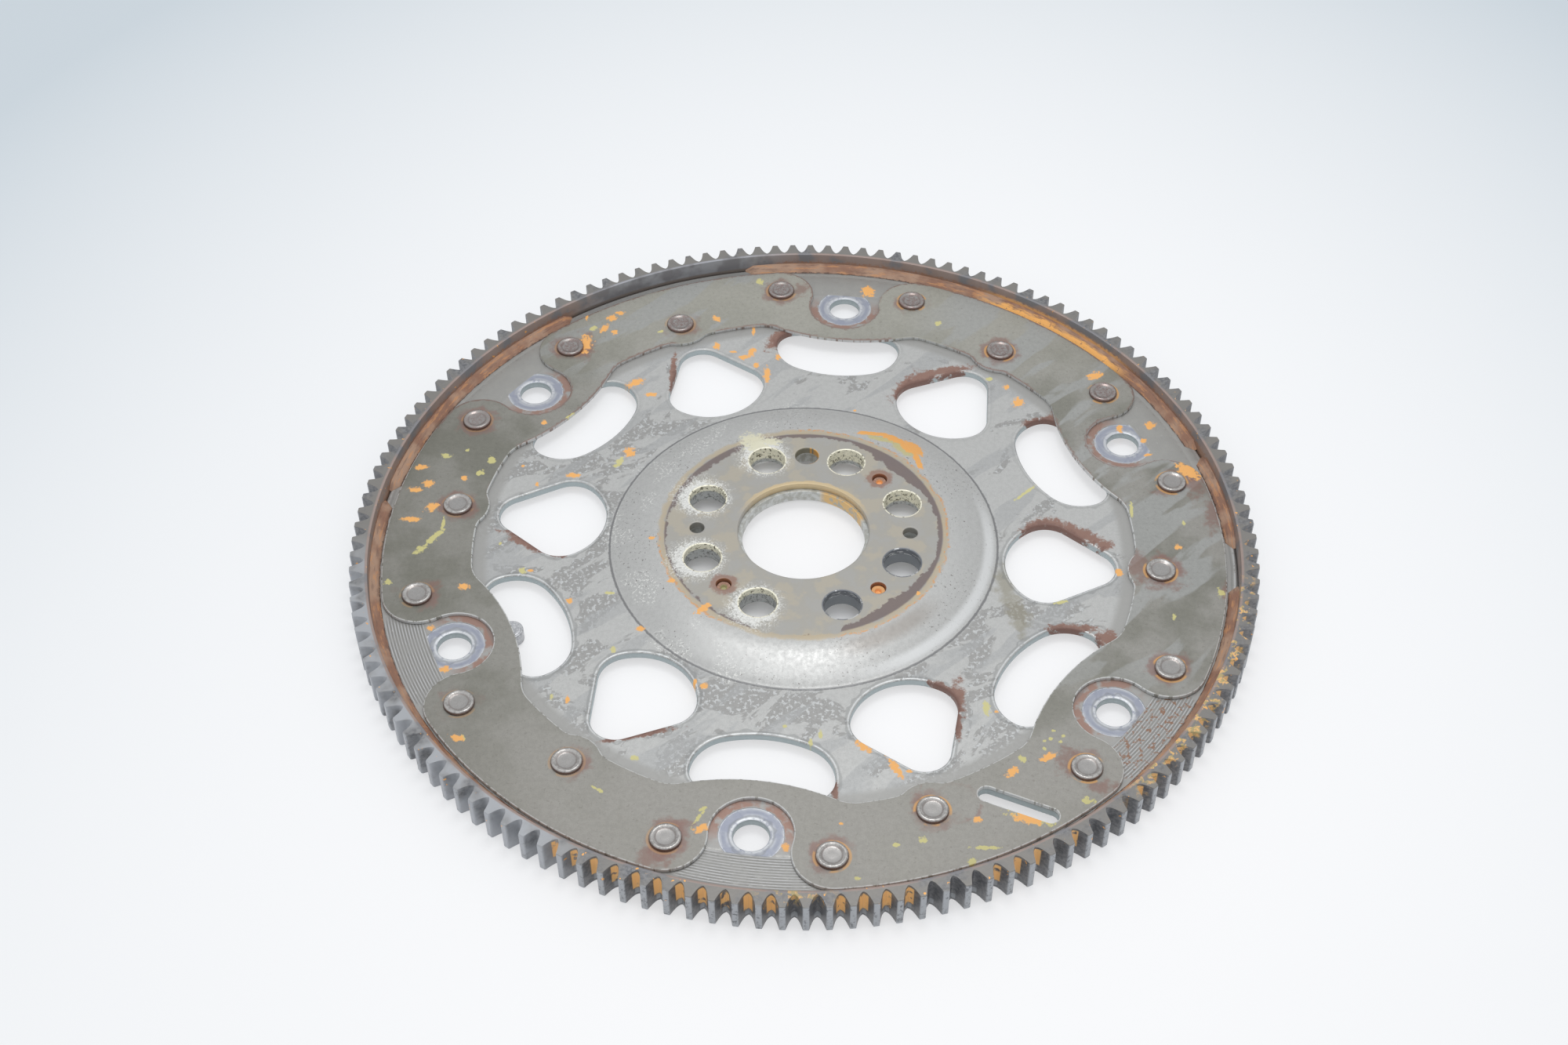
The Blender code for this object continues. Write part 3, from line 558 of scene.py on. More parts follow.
def groove_points():
    """Rows of points on the crests and floors of the turned grooves beside each cut-out."""
    points = []
    half_turns = round(2.0 * (GROOVE_OUTER_RADIUS - GROOVE_INNER_RADIUS) / GROOVE_PITCH)
    for hole in converter_angles():
        for index in range(-2, half_turns):
            radius = GROOVE_INNER_RADIUS + GROOVE_PITCH / 2.0 * index + GROOVE_SHIFT
            steps = range(-GROOVE_REACH, GROOVE_REACH + 1)
            points += [polar(radius, hole + GROOVE_STEP * step) for step in steps]
    return points


def rivet_hole_outlines(sides):
    places = outer_rivet_places()
    return [(circle(polar(*place), RIVET_HOLE_RADIUS, 1.0 * MM), sides) for place in places]


def hub_hole_outlines(sides):
    holes = [(angle, CRANK_HOLE_RADIUS, 0.8 * MM) for angle in crank_angles()]
    holes += [(angle, DOWEL_RADIUS, 0.5 * MM) for angle in DOWEL_ANGLES]
    holes.append((INDEX_HOLE_ANGLE, INDEX_HOLE_RADIUS, 0.8 * MM))
    holes += [(angle, HUB_PIN_HOLE_RADIUS, 0.5 * MM) for angle in HUB_PIN_ANGLES]
    return [(circle(polar(HUB_CIRCLE, angle), radius, step), sides) for angle, radius, step in holes]


def make_disc():
    rolled = edge_profile(DISC_THICKNESS, 0.75 * MM, 0.25 * MM)
    crisp = edge_profile(DISC_THICKNESS, 0.3 * MM, 0.15 * MM, 3)
    chamfered = edge_profile(DISC_THICKNESS, 0.7 * MM, 0.2 * MM, 2)
    edges = [(circle(AXIS, DISC_RADIUS, 1.5 * MM), crisp)]
    edges.append((circle(AXIS, BORE_RADIUS), crisp))
    for angle in converter_angles():
        edges.append((placed_on_radius(kidney_outline(), angle), rolled))
        edges.append((placed_on_radius(triangle_outline(), angle + 180.0 / HOLES), rolled))
        edges.append((circle(polar(CONVERTER_CIRCLE, angle), CONVERTER_HOLE_RADIUS, 0.5 * MM), chamfered))
    edges += rivet_hole_outlines(crisp)
    edges.append((slot_outline(), crisp))
    edges += hub_hole_outlines(crisp)
    dish_radii = [radius * MM for radius in (44.0, 45.8, 46.8)]
    dish_rings = 16
    for index in range(1, dish_rings + 1):
        dish_radii.append(HUB_FLAT_RADIUS + (DISH_OUTER_RADIUS - HUB_FLAT_RADIUS) * index / dish_rings)
    points = []
    for radius in dish_radii:
        points += ring_of(radius, DISH_STEPS)
    points += ring_points([radius * MM for radius in (24.0, 26.5, 29.0, 32.0, 35.0, 38.0, 41.0)], 2.0 * MM)
    points += ring_of(DISH_OUTER_RADIUS + 0.25 * MM, DISH_STEPS)
    points += ring_points([radius * MM for radius in range(67, 127, 3)], 3.0 * MM)
    points += ring_points([radius * MM for radius in (129, 132, 135, 138, 141)], 4.0 * MM)
    points += groove_points()
    for hole in converter_angles():
        for radius in (PAD_RADIUS - 0.04 * MM, PAD_RADIUS + 0.04 * MM):
            points += [point for point in circle(polar(CONVERTER_CIRCLE, hole), radius, 0.5 * MM)
                       if math.hypot(*point[:2]) < GROOVE_INNER_RADIUS - 0.1 * MM]
    disc = sheet("disc", edges, points, dish_height, DISC_THICKNESS, 0.9 * MM)
    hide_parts("flex_disc")
    return disc


def make_reinforcing_ring():
    bottom = DISC_TOP + HAIR_GAP
    thickness = RING_TOP - bottom
    rolled = edge_profile(thickness, 0.32 * MM, 0.1 * MM, 4)
    crisp = edge_profile(thickness, 0.15 * MM, 0.1 * MM, 2)
    angles = converter_angles()
    cutouts = [(angle, CONVERTER_CIRCLE, CUTOUT_RADIUS, CUTOUT_SHOULDER) for angle in angles]
    scallops = [(angle, LOBE_TIP + LOBE_ARC, LOBE_ARC, LOBE_FILLET) for angle in angles]
    scallops += [(angle, SINGLE_RIVET_CIRCLE, EAR_RADIUS, EAR_FILLET) for angle in single_rivet_angles()]
    edges = [
        (dipped_circle(RING_OUTER_RADIUS, cutouts), rolled),
        (dipped_circle(RING_INNER_RADIUS, scallops), rolled),
        (slot_outline(), rolled),
    ]
    edges += rivet_hole_outlines(crisp)
    points = ring_points([radius * MM for radius in range(104, 140, 3)], 3.0 * MM)
    ring = sheet("riveted_ring", edges, points, lambda x, y: RING_TOP, thickness)
    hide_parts("reinforcing_ring")
    return ring


def make_hub_plate():
    top = HUB_TOP - DISC_THICKNESS - HAIR_GAP
    thickness = top - HUB_PLATE_BOTTOM
    crisp = edge_profile(thickness, 0.25 * MM, 0.4 * MM, 3)
    edges = [(circle(AXIS, HUB_PLATE_RADIUS, 1.5 * MM), crisp)]
    edges.append((circle(AXIS, HUB_PLATE_BORE), crisp))
    edges += hub_hole_outlines(crisp)
    points = ring_points([radius * MM for radius in range(23, 43, 3)], 3.0 * MM)
    plate = sheet("backing_plate", edges, points, lambda x, y: top, thickness)
    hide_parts("hub_plate")
    return plate


def tooth_points():
    """One pitch of the toothed edge as depth below the tip circle and angle, in order."""
    pitch = 360.0 / TEETH
    half = []
    for depth, width in TOOTH_FLANK:
        radius = TIP_RADIUS - depth * MM
        half.append((depth * MM, math.degrees(width * MM / radius)))
    left = [(TOOTH_DEPTH, -pitch / 2.0)] + [(depth, -turn) for depth, turn in reversed(half)]
    return left + [(depth, turn) for depth, turn in half]


def make_gear():
    """Rows of points up the teeth, over the top and down the bore, with small broken edges."""
    edge = 0.22 * MM
    burr = 0.45 * MM
    pitch = 360.0 / TEETH
    outline = []
    for tooth in range(TEETH):
        middle = TOOTH_PHASE + pitch * tooth
        outline += [(depth, middle + turn) for depth, turn in tooth_points()]

    def toothed(inset, height):
        row = []
        for depth, angle in outline:
            x, y = polar(TIP_RADIUS - depth - inset * (1.0 - 0.5 * depth / TOOTH_DEPTH), angle)
            row.append((x, y, height))
        return row

    def bored(radius, height):
        return [(*polar(radius, angle), height) for _, angle in outline]

    rows = [
        toothed(burr, 0.0),
        toothed(0.12 * MM, 0.28 * MM),
        toothed(0.0, 0.7 * MM),
        toothed(0.0, 4.2 * MM),
        toothed(0.0, 8.0 * MM),
        toothed(0.0, GEAR_TOP - 0.5 * MM),
        toothed(0.1 * MM, GEAR_TOP - edge / 2.0),
        toothed(edge, GEAR_TOP),
        bored(GEAR_BORE + 0.9 * MM, GEAR_TOP),
        bored(GEAR_BORE + 0.45 * MM, GEAR_TOP),
        bored(GEAR_BORE + 0.12 * MM, GEAR_TOP - 0.12 * MM),
        bored(GEAR_BORE, GEAR_TOP - 0.45 * MM),
        bored(GEAR_BORE, GEAR_TOP / 2.0),
        bored(GEAR_BORE, 0.35 * MM),
        bored(GEAR_BORE + 0.35 * MM, 0.0),
        bored(GEAR_BORE + 0.9 * MM, 0.0),
    ]
    vertices = [point for row in rows for point in row]
    numbers = [range(start, start + len(outline)) for start in range(0, len(vertices), len(outline))]
    faces = []
    for lower, upper in zip(numbers, numbers[1:] + numbers[:1]):
        faces += [(quad[0], quad[3], quad[2], quad[1]) for quad in strip(lower, upper)]
    gear = new_piece("toothed_ring", vertices, faces, 28.0)
    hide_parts("ring_gear")
    return gear


def make_rivets(material):
    base = RING_TOP + HAIR_GAP
    dish = RIVET_TOP - 0.45 * MM
    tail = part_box("outer_rivet_01")[0][2]
    profile = [
        (0.0, dish + 0.02 * MM), (1.2 * MM, dish), (2.6 * MM, dish - 0.02 * MM),
        (2.95 * MM, dish + 0.03 * MM), (3.35 * MM, dish + 0.2 * MM), (3.75 * MM, RIVET_TOP - 0.07 * MM),
        (4.05 * MM, RIVET_TOP), (4.4 * MM, RIVET_TOP - 0.05 * MM), (4.7 * MM, RIVET_TOP - 0.25 * MM),
        (RIVET_HEAD_RADIUS - 0.03 * MM, RIVET_TOP - 0.6 * MM), (RIVET_HEAD_RADIUS, base + 0.1 * MM),
        (RIVET_HEAD_RADIUS - 0.1 * MM, base), (2.4 * MM, base), (2.4 * MM, DISC_BOTTOM - HAIR_GAP),
        (4.0 * MM, DISC_BOTTOM - HAIR_GAP), (4.1 * MM, DISC_BOTTOM - 0.5 * MM),
        (3.8 * MM, tail + 0.25 * MM), (3.3 * MM, tail), (0.0, tail),
    ]
    first = turned("rivet_01", profile, 56, 50.0)
    first.data.materials.append(material)
    for index, (radius, angle) in enumerate(outer_rivet_places()):
        rivet = first if index == 0 else placed(f"rivet_{index + 1:02d}", first.data)
        rivet.location = (*polar(radius, angle), 0.0)
        rivet.rotation_euler.z = random.uniform(0.0, math.tau)
        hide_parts(f"outer_rivet_{index + 1:02d}")
        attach(rivet, BODY)


def make_pins(material):
    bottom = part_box("hub_pin_45")[0][2]
    profile = [
        (0.0, PIN_TOP - 1.3 * MM), (0.8 * MM, PIN_TOP - 1.2 * MM), (1.05 * MM, PIN_TOP - 0.5 * MM),
        (1.2 * MM, PIN_TOP - 0.25 * MM), (1.55 * MM, PIN_TOP - 0.15 * MM), (1.9 * MM, PIN_TOP - 0.02 * MM),
        (2.2 * MM, PIN_TOP - 0.1 * MM), (2.3 * MM, PIN_TOP - 0.4 * MM),
        (2.3 * MM, bottom + 0.2 * MM), (2.1 * MM, bottom), (0.0, bottom),
    ]
    for angle in HUB_PIN_ANGLES:
        pin = turned(f"pin_{angle:.0f}", profile, 40, 50.0)
        pin.location = (*polar(HUB_CIRCLE, angle), 0.0)
        pin.data.materials.append(material)
        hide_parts(f"hub_pin_{angle:.0f}")
        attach(pin, BODY)


def make_slug():
    low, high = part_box("balance_slug")
    top, bottom = high[2] - HAIR_GAP, low[2]
    profile = [
        (0.0, top - 0.12 * MM), (1.6 * MM, top - 0.1 * MM), (2.3 * MM, top - 0.03 * MM), (2.75 * MM, top),
        (2.95 * MM, top - 0.14 * MM), (3.15 * MM, top - 0.02 * MM), (3.45 * MM, top - 0.03 * MM),
        (SLUG_RADIUS - 0.08 * MM, top - 0.25 * MM), (SLUG_RADIUS, top - 0.6 * MM),
        (SLUG_RADIUS, bottom + 0.5 * MM), (SLUG_RADIUS - 0.4 * MM, bottom), (0.0, bottom),
    ]
    slug = turned("slug", profile, 56, 40.0)
    slug.location = (*polar(SLUG_CIRCLE, SLUG_ANGLE), 0.0)
    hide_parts("balance_slug")
    return slug


def make_weld(index, start, end, material):
    """A rippled fillet bead that tapers at both ends."""
    bottom = DISC_TOP + HAIR_GAP
    wall = GEAR_BORE - HAIR_GAP
    section = []
    section_steps = 9
    taper_rows = 5.0
    for step in range(section_steps + 1):
        share = step / section_steps
        section.append((share, math.sin(math.pi * share) * 0.5 + 0.15))
    step_angle = 0.3
    ripple_pitch = 1.7 * MM
    lumps_per_metre, waves_per_metre, grains_per_metre = 180.0, 320.0, 900.0
    count = math.ceil((end - start) / step_angle)
    vertices, faces, rows = [], [], []
    for row in range(count + 1):
        rows.append(range(len(vertices), len(vertices) + len(section) + 1))
        angle = start + (end - start) * row / count
        along = math.radians(angle) * GEAR_BORE
        ripple = abs(math.sin(math.pi * along / ripple_pitch))
        lump = noise.noise((along * lumps_per_metre, index, 0.0))
        taper = min(1.0, (min(row, count - row) + 1.0) / taper_rows)
        for share, bulge in section:
            toe = WELD_TOE_RADIUS + 0.25 * MM * noise.noise((along * waves_per_metre, 5.0, index))
            radius = toe + (wall - toe) * (share * taper + 1.0 - taper)
            rise = (WELD_TOP - 0.35 * MM - bottom) * taper
            grain = noise.noise((along * grains_per_metre, share * 4.0, index)) * 0.12
            height = bottom + rise * share ** 1.15
            height += taper * bulge * MM * (0.22 + 0.2 * ripple + 0.28 * lump + grain)
            vertices.append((*polar(radius, angle), max(bottom, height)))
        vertices.append((*polar(wall, angle), bottom))
    for first, second in zip(rows, rows[1:]):
        faces += strip(first, second)
    faces += [tuple(rows[0]), tuple(reversed(rows[-1]))]
    bead = new_piece(f"bead_{index}", vertices, faces, 60.0)
    bead.data.materials.append(material)
    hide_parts(f"weld_bead_{index}")
    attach(bead, BODY)


# Colours as they look on a screen, 0 to 255
ORANGE = (244, 180, 104)
YELLOW = (212, 204, 134)
DARK_RUST = (122, 90, 80)
CREAM = (246, 242, 222)
POWDER = (234, 234, 230)
BLACK = (0.0, 0.0, 0.0, 1.0)  # already linear


def linear(colour):
    """The linear colour that a shader takes. A colour of four values or an output stays as it is."""
    if not isinstance(colour, tuple) or len(colour) == 4:
        return colour
    return (*(((value / 255.0 + 0.055) / 1.055) ** 2.4 for value in colour), 1.0)


def in_mm(radius, angle):
    """A place in millimetres, as the finishes use them."""
    return [value / MM for value in polar(radius, angle)]


class Finish:
    """A material in the making. Most methods add nodes and give back the output of the last one."""

    def __init__(self, name, roughness, metallic, flat=False):
        self.material = bpy.data.materials.new(name)
        self.material.use_nodes = True
        self.tree = self.material.node_tree
        self.shader = self.tree.nodes["Principled BSDF"]
        self.shader.inputs["Metallic"].default_value = metallic
        self.shader.inputs["Roughness"].default_value = roughness
        coordinates = self.add("ShaderNodeTexCoord").outputs["Object"]
        self.place = self.vector("SCALE", coordinates, scale=1.0 / MM)
        self.x, self.y, self.z = self.parts(self.place)
        self.flat = self.vector("MULTIPLY", self.place, (1.0, 1.0, 0.0))
        self.radius = self.vector("LENGTH", self.flat)
        self.turn = self.math("MULTIPLY", self.math("ARCTAN2", self.y, self.x), 180.0 / math.pi)
        self.turned_places = {}
        self.dimensions = "2D" if flat else "3D"
        self.colour = BLACK

    def add(self, kind, inputs=None, **settings):
        """A new node; its inputs are values or outputs of other nodes."""
        node = self.tree.nodes.new(kind)
        for key, value in settings.items():
            setattr(node, key, value)
        for key, value in (inputs or {}).items():
            self.feed(node.inputs[key], value)
        return node

    def feed(self, socket, value):
        """Links an output to a socket, or sets the socket's own value."""
        if isinstance(value, bpy.types.NodeSocket):
            self.tree.links.new(value, socket)
        else:
            socket.default_value = value

    def math(self, operation, *values):
        return self.add("ShaderNodeMath", dict(enumerate(values)), operation=operation).outputs[0]

    def vector(self, operation, first, second=None, scale=None):
        inputs = {0: first, 1: second, "Scale": scale}
        inputs = {key: value for key, value in inputs.items() if value is not None}
        node = self.add("ShaderNodeVectorMath", inputs, operation=operation)
        return node.outputs["Value" if operation in ("LENGTH", "DISTANCE") else "Vector"]

    def parts(self, vector):
        """The x, y and z of a vector."""
        return self.add("ShaderNodeSeparateXYZ", {0: vector}).outputs

    def mapped(self, offset=(0.0, 0.0, 0.0), turn=0.0, scale=(1.0, 1.0, 1.0)):
        """The place in a frame that is moved, turned about the axis and stretched."""
        rotation = (0.0, 0.0, math.radians(turn))
        inputs = {"Vector": self.place, "Location": offset, "Rotation": rotation, "Scale": scale}
        return self.add("ShaderNodeMapping", inputs, vector_type="TEXTURE").outputs[0]

    def noise(self, size, detail=2.0, roughness=0.5, place=None, twist=0.0, solid=False):
        """Noise about 0.5 whose lumps are about this many millimetres across."""
        inputs = {
            "Vector": place if place is not None else self.place,
            "Scale": 1.0 / size,
            "Detail": detail,
            "Roughness": roughness,
            "Distortion": twist,
        }
        dimensions = "3D" if solid else self.dimensions
        return self.add("ShaderNodeTexNoise", inputs, noise_dimensions=dimensions).outputs[0]

    def band(self, value, low, high):
        """0 at low and 1 at high, smooth between; low may be the larger."""
        inputs = {"Value": value, "From Min": low, "From Max": high}
        smooth = {"interpolation_type": "SMOOTHSTEP", "clamp": False}
        return self.add("ShaderNodeMapRange", inputs, **smooth).outputs[0]

    def patches(self, low, high, size, detail=2.0, roughness=0.5):
        """Patches of noise, by the band from low to high."""
        return self.band(self.noise(size, detail, roughness), low, high)

    def scaled(self, value, factor, offset):
        """The value times the factor, plus the offset."""
        return self.math("MULTIPLY_ADD", value, factor, offset)

    def rough(self, value, grain, amount):
        """The value, made uneven by noise."""
        return self.scaled(self.math("SUBTRACT", grain, 0.5), amount, value)

    def both(self, first, *others):
        """Where all of the shares meet."""
        for other in others:
            first = self.math("MULTIPLY", first, other)
        return first

    def either(self, first, *others):
        """Where any of the shares is."""
        for other in others:
            first = self.math("MAXIMUM", first, other)
        return first

    def unless(self, share, other):
        """The share less the other one, never below 0."""
        return self.math("MAXIMUM", self.math("SUBTRACT", share, other), 0.0)

    def between(self, value, low, high, soft):
        """1 between two values, with soft edges inside them."""
        return self.both(self.band(value, low, low + soft), self.band(value, high, high - soft))

    def paint(self, under, colour, *shares):
        """One colour over another where all of the shares meet."""
        inputs = {"Factor": self.both(*shares), 6: linear(under), 7: linear(colour)}
        return self.add("ShaderNodeMix", inputs, data_type="RGBA").outputs[2]

    def start(self, under, colour, share):
        """Makes the first coat of two colours."""
        self.colour = self.paint(under, colour, share)

    def coat(self, colour, *shares):
        """Lays one more colour over the finish where all of the shares meet."""
        self.colour = self.paint(self.colour, colour, *shares)

    def mottle(self, grain, depth):
        """Darkens the finish a little where the noise is low."""
        self.coat(BLACK, self.band(grain, 0.66, 0.34), depth)

    def spread(self, value, low, high):
        """Turns noise about 0.5 into a factor from low to high."""
        inputs = {"Value": value, "From Min": 0.3, "From Max": 0.7, "To Min": low, "To Max": high}
        return self.add("ShaderNodeMapRange", inputs, clamp=False).outputs[0]

    def rotated(self, turn):
        """Coordinates turned about the axis; each angle's node is made once."""
        if turn not in self.turned_places:
            self.turned_places[turn] = self.mapped(turn=turn)
        return self.turned_places[turn]

    def nearest(self, places, grow=1.0):
        """Distance from the nearest of some stains, 1 at its edge. Stains of a size share a node."""
        sizes = {}
        for x, y, *size in places:
            sizes.setdefault(tuple(size), []).append((x, y))
        nearest = None
        for (length, width, *angle), centres in sizes.items():
            turn = angle[0] if angle else 0
            cosine, sine = math.cos(math.radians(turn)), math.sin(math.radians(turn))
            along, across = 2.0 / (grow * length), 2.0 / (grow * width)
            stretched = self.vector("MULTIPLY", self.rotated(turn), (along, across, 0.0))
            for x, y in centres:
                centre = (along * (x * cosine + y * sine), across * (y * cosine - x * sine), 0.0)
                distance = self.vector("DISTANCE", stretched, centre)
                nearest = distance if nearest is None else self.math("MINIMUM", nearest, distance)
        return nearest

    def stains(self, places, grain, ragged=1.0, grow=1.15, soft=0.25):
        """Stains with ragged edges; grain is the noise that breaks them."""
        distance = self.rough(self.nearest(places, grow), grain, ragged * 2.0)
        return self.band(distance, 1.0 + soft, 1.0 - soft)

    def folded(self, phase, count):
        """Coordinates that repeat about the axis: along and across the radius at the phase."""
        step = math.radians(360.0 / count)
        turn = self.math("SUBTRACT", self.math("ARCTAN2", self.y, self.x), math.radians(phase))
        turn = self.math("WRAP", turn, step / 2.0, -step / 2.0)
        along = self.math("MULTIPLY", self.radius, self.math("COSINE", turn))
        across = self.math("MULTIPLY", self.radius, self.math("SINE", turn))
        return along, across

    def distance(self, along, across, place):
        """Distance from a place in flat coordinates."""
        node = self.add("ShaderNodeCombineXYZ", {0: along, 1: across})
        return self.vector("DISTANCE", node.outputs[0], (*place, 0.0))

    def arcs(self, places, soft=1.0):
        """1 where the angle lies in one of some arcs, each a start and an end in degrees."""
        share = None
        for start, end in places:
            away = self.math("SUBTRACT", self.turn, (start + end) / 2.0)
            away = self.math("ABSOLUTE", self.math("WRAP", away, 180.0, -180.0))
            half = (end - start) / 2.0
            arc_share = self.band(away, half + soft / 2.0, half - soft / 2.0)
            share = arc_share if share is None else self.either(share, arc_share)
        return share

    def edge(self):
        """Distance from the nearest edge of the sheet, in millimetres."""
        node = self.add("ShaderNodeAttribute", attribute_name="edge")
        return self.math("MULTIPLY", node.outputs["Fac"], 1.0 / MM)

    def wall(self):
        """1 on faces that stand upright."""
        rise = self.parts(self.add("ShaderNodeNewGeometry").outputs["Normal"])[2]
        return self.band(self.math("ABSOLUTE", rise), 0.75, 0.45)

    def bump(self, height, strength, depth=0.05 * MM):
        node = self.add("ShaderNodeBump", {"Strength": strength, "Distance": depth, "Height": height})
        self.feed(self.shader.inputs["Normal"], node.outputs[0])

    def bare(self, covered, metallic):
        """Metal only where rust, powder or paint doesn't cover it."""
        self.feed(self.shader.inputs["Metallic"], self.scaled(covered, -metallic, metallic))

    def done(self, roughness=None):
        self.feed(self.shader.inputs["Base Color"], self.colour)
        if roughness is not None:
            self.feed(self.shader.inputs["Roughness"], roughness)
        return self.material


def rivet_halo(finish, grain):
    """Rust round the outer rivets: a broken orange ring and a brown blot."""
    along, across = finish.folded(CONVERTER_PHASE, HOLES)
    across = finish.math("ABSOLUTE", across)
    distance = finish.distance(along, across, in_mm(SINGLE_RIVET_CIRCLE, 180.0 / HOLES))
    vacant_angle = CONVERTER_PHASE + (SLOT_RIVET_INDEX + 0.5) * 360.0 / HOLES
    clear_radius = 14.0
    vacant = finish.distance(finish.x, finish.y, in_mm(SINGLE_RIVET_CIRCLE, vacant_angle))
    distance = finish.math("MAXIMUM", distance, finish.math("SUBTRACT", clear_radius, vacant))
    pair = in_mm(PAIR_RIVET_CIRCLE, PAIR_RIVET_SPREAD)
    distance = finish.math("MINIMUM", distance, finish.distance(along, across, pair))
    slot_rivet = in_mm(SINGLE_RIVET_CIRCLE, single_rivet_angles()[SLOT_RIVET_INDEX])
    distance = finish.math("MINIMUM", distance, finish.distance(finish.x, finish.y, slot_rivet))
    broken = finish.patches(0.4, 0.52, 7.0, 2.0)
    ring = finish.both(finish.between(distance, 4.7, 6.0, 0.5), broken)
    blot = finish.math("ADD", distance, finish.math("MULTIPLY", grain, -7.0))
    blot = finish.both(finish.band(blot, 4.6, 2.2), finish.patches(0.42, 0.6, 22.0, 1.0))
    return ring, blot


def ring_finish():
    """Dull olive-grey sheet with painted sheen streaks, painted light towards the front and back, painted
    glints on its front edges, flecks of paint and rust round the rivets.
    """
    finish = Finish("ring_finish", 0.5, 0.35, flat=True)
    grain = finish.noise(1.6, 3.0, 0.6)
    cloud = finish.noise(26.0, 4.0, 0.55)
    fine = finish.noise(0.45, 2.0, 0.6)
    finish.start((133, 132, 123), (158, 156, 150), finish.band(cloud, 0.36, 0.64))
    # Painted light: lighter towards the front and much lighter towards the back
    finish.coat((164, 161, 155), finish.band(finish.y, -50.0, -110.0), 0.7)
    finish.coat((176, 174, 164), finish.band(finish.y, 50.0, 130.0), 0.8)
    # Painted sheen: broad lighter streaks on the right and at the back left, standing in for reflections
    smear_and_sheen = finish.noise(1.0, 3.0, 0.45, finish.mapped((11.0, 4.0, 0.0), 48.0, (46.0, 11.0, 40.0)), 0.3)
    smear_and_sheen = finish.band(smear_and_sheen, 0.51, 0.57)
    sheen_right = finish.both(finish.band(finish.x, 30.0, 60.0), finish.band(finish.y, -90.0, -30.0))
    sheen_left = finish.both(finish.band(finish.x, -10.0, -30.0), finish.band(finish.y, 70.0, 90.0))
    finish.coat((170, 171, 169), smear_and_sheen, finish.either(sheen_right, sheen_left), 0.75)
    # Darker to the left
    finish.coat((112, 111, 100), finish.band(finish.x, -60.0, -120.0), 0.3)
    finish.mottle(grain, 0.07)
    finish.mottle(fine, 0.05)
    finish.coat((98, 92, 84), finish.patches(0.66, 0.72, 1.7, 2.0, 0.7), 0.2)
    ring, blot = rivet_halo(finish, finish.noise(5.0, 3.0, 0.6))
    rust = finish.stains(RING_RUST, finish.noise(4.0, 4.0, 0.65), 1.6, 1.1, 0.6)
    finish.coat((138, 104, 94), rust, 0.62)
    finish.coat((142, 108, 100), blot, 0.65)
    right = finish.band(finish.x, -60.0, 60.0)
    finish.coat((220, 168, 104), ring, finish.scaled(right, 0.5, 0.3))
    edge = finish.edge()
    rim = finish.math("ADD", edge, finish.math("MULTIPLY", grain, -1.6))
    rim = finish.both(finish.band(rim, 0.1, -0.4), finish.band(finish.y, 0.0, 50.0))
    finish.coat((130, 102, 94), rim, finish.band(cloud, 0.4, 0.5), 0.7)
    # Painted highlight: a bright line along the cut edges at the front
    edge_glint = finish.band(edge, 0.5, 0.2)
    front = finish.band(finish.y, 70.0, 20.0)
    finish.coat((216, 217, 216), edge_glint, front, finish.band(grain, 0.34, 0.5), 0.8)
    yellow = finish.stains(RING_YELLOW, grain, 1.3)
    finish.coat(YELLOW, yellow, 0.85)
    orange = finish.stains(RING_ORANGE, grain, 1.1)
    finish.coat(ORANGE, orange)
    finish.coat((206, 208, 208), finish.wall(), finish.band(grain, 0.3, 0.5), 0.8)
    finish.bump(fine, 0.35)
    finish.bare(finish.either(orange, yellow), 0.35)
    return finish.done(finish.spread(cloud, 0.42, 0.58))


# The residue on the hub: its width, and arcs where the width changes, as start and end in degrees,
# softness and change
RESIDUE_WIDTH = 1.7
RESIDUE_ARCS = ((30.0, 58.0, 36.0, 3.4), (-62.0, -32.0, 34.0, 2.6), (124.0, 146.0, 12.0, 1.0),
                (165.0, 240.0, 20.0, -1.2), (250.0, 288.0, 18.0, -2.4))


def hub_paint(finish, grain):
    """The flat hub: residue left by the crankshaft's bolt plate, rust at its edge, orange and yellow stains
    and a tan bore.
    """
    inside = finish.band(finish.radius, 49.0, 46.4)
    finish.coat((172, 169, 162), inside)
    ragged = finish.noise(4.5, 3.0, 0.6)
    cloud = finish.noise(9.0, 3.0, 0.55)
    finish.coat((184, 176, 160), inside, finish.band(cloud, 0.5, 0.62), 0.7)
    finish.coat((172, 171, 168), inside, finish.band(cloud, 0.46, 0.36), 0.6)
    width = RESIDUE_WIDTH
    for start, end, soft, change in RESIDUE_ARCS:
        width = finish.scaled(finish.arcs([(start, end)], soft), change, width)
    width = finish.rough(width, ragged, 4.5)
    depth = finish.math("ADD", finish.radius, width)
    residue = finish.both(finish.band(depth, 45.8, 46.4), finish.band(finish.radius, 46.5, 45.8))
    tan = finish.rough(finish.radius, ragged, 3.2)
    outline = finish.between(tan, 45.8, 48.6, 0.9)
    finish.coat((196, 178, 146), outline, 0.55)
    finish.coat((122, 109, 107), residue, 0.9)
    rust_arcs = finish.between(tan, 47.5, 48.7, 0.5)
    rust_arcs = finish.both(rust_arcs, finish.arcs([(-75.0, 95.0), (185.0, 240.0)], 12.0))
    finish.coat((214, 158, 106), rust_arcs, finish.band(grain, 0.42, 0.56), 0.8)
    finish.coat((204, 194, 136), finish.stains(HUB_YELLOW, ragged, 0.7, 1.25, 0.35), 0.85)
    finish.coat(ORANGE, finish.stains(HUB_ORANGE, grain, 0.6, 1.2, 0.15))
    bore = finish.band(finish.rough(finish.radius, ragged, 2.0), 23.6, 22.9)
    finish.coat((216, 192, 148), bore, finish.band(finish.y, 4.0, 20.0), 0.8)


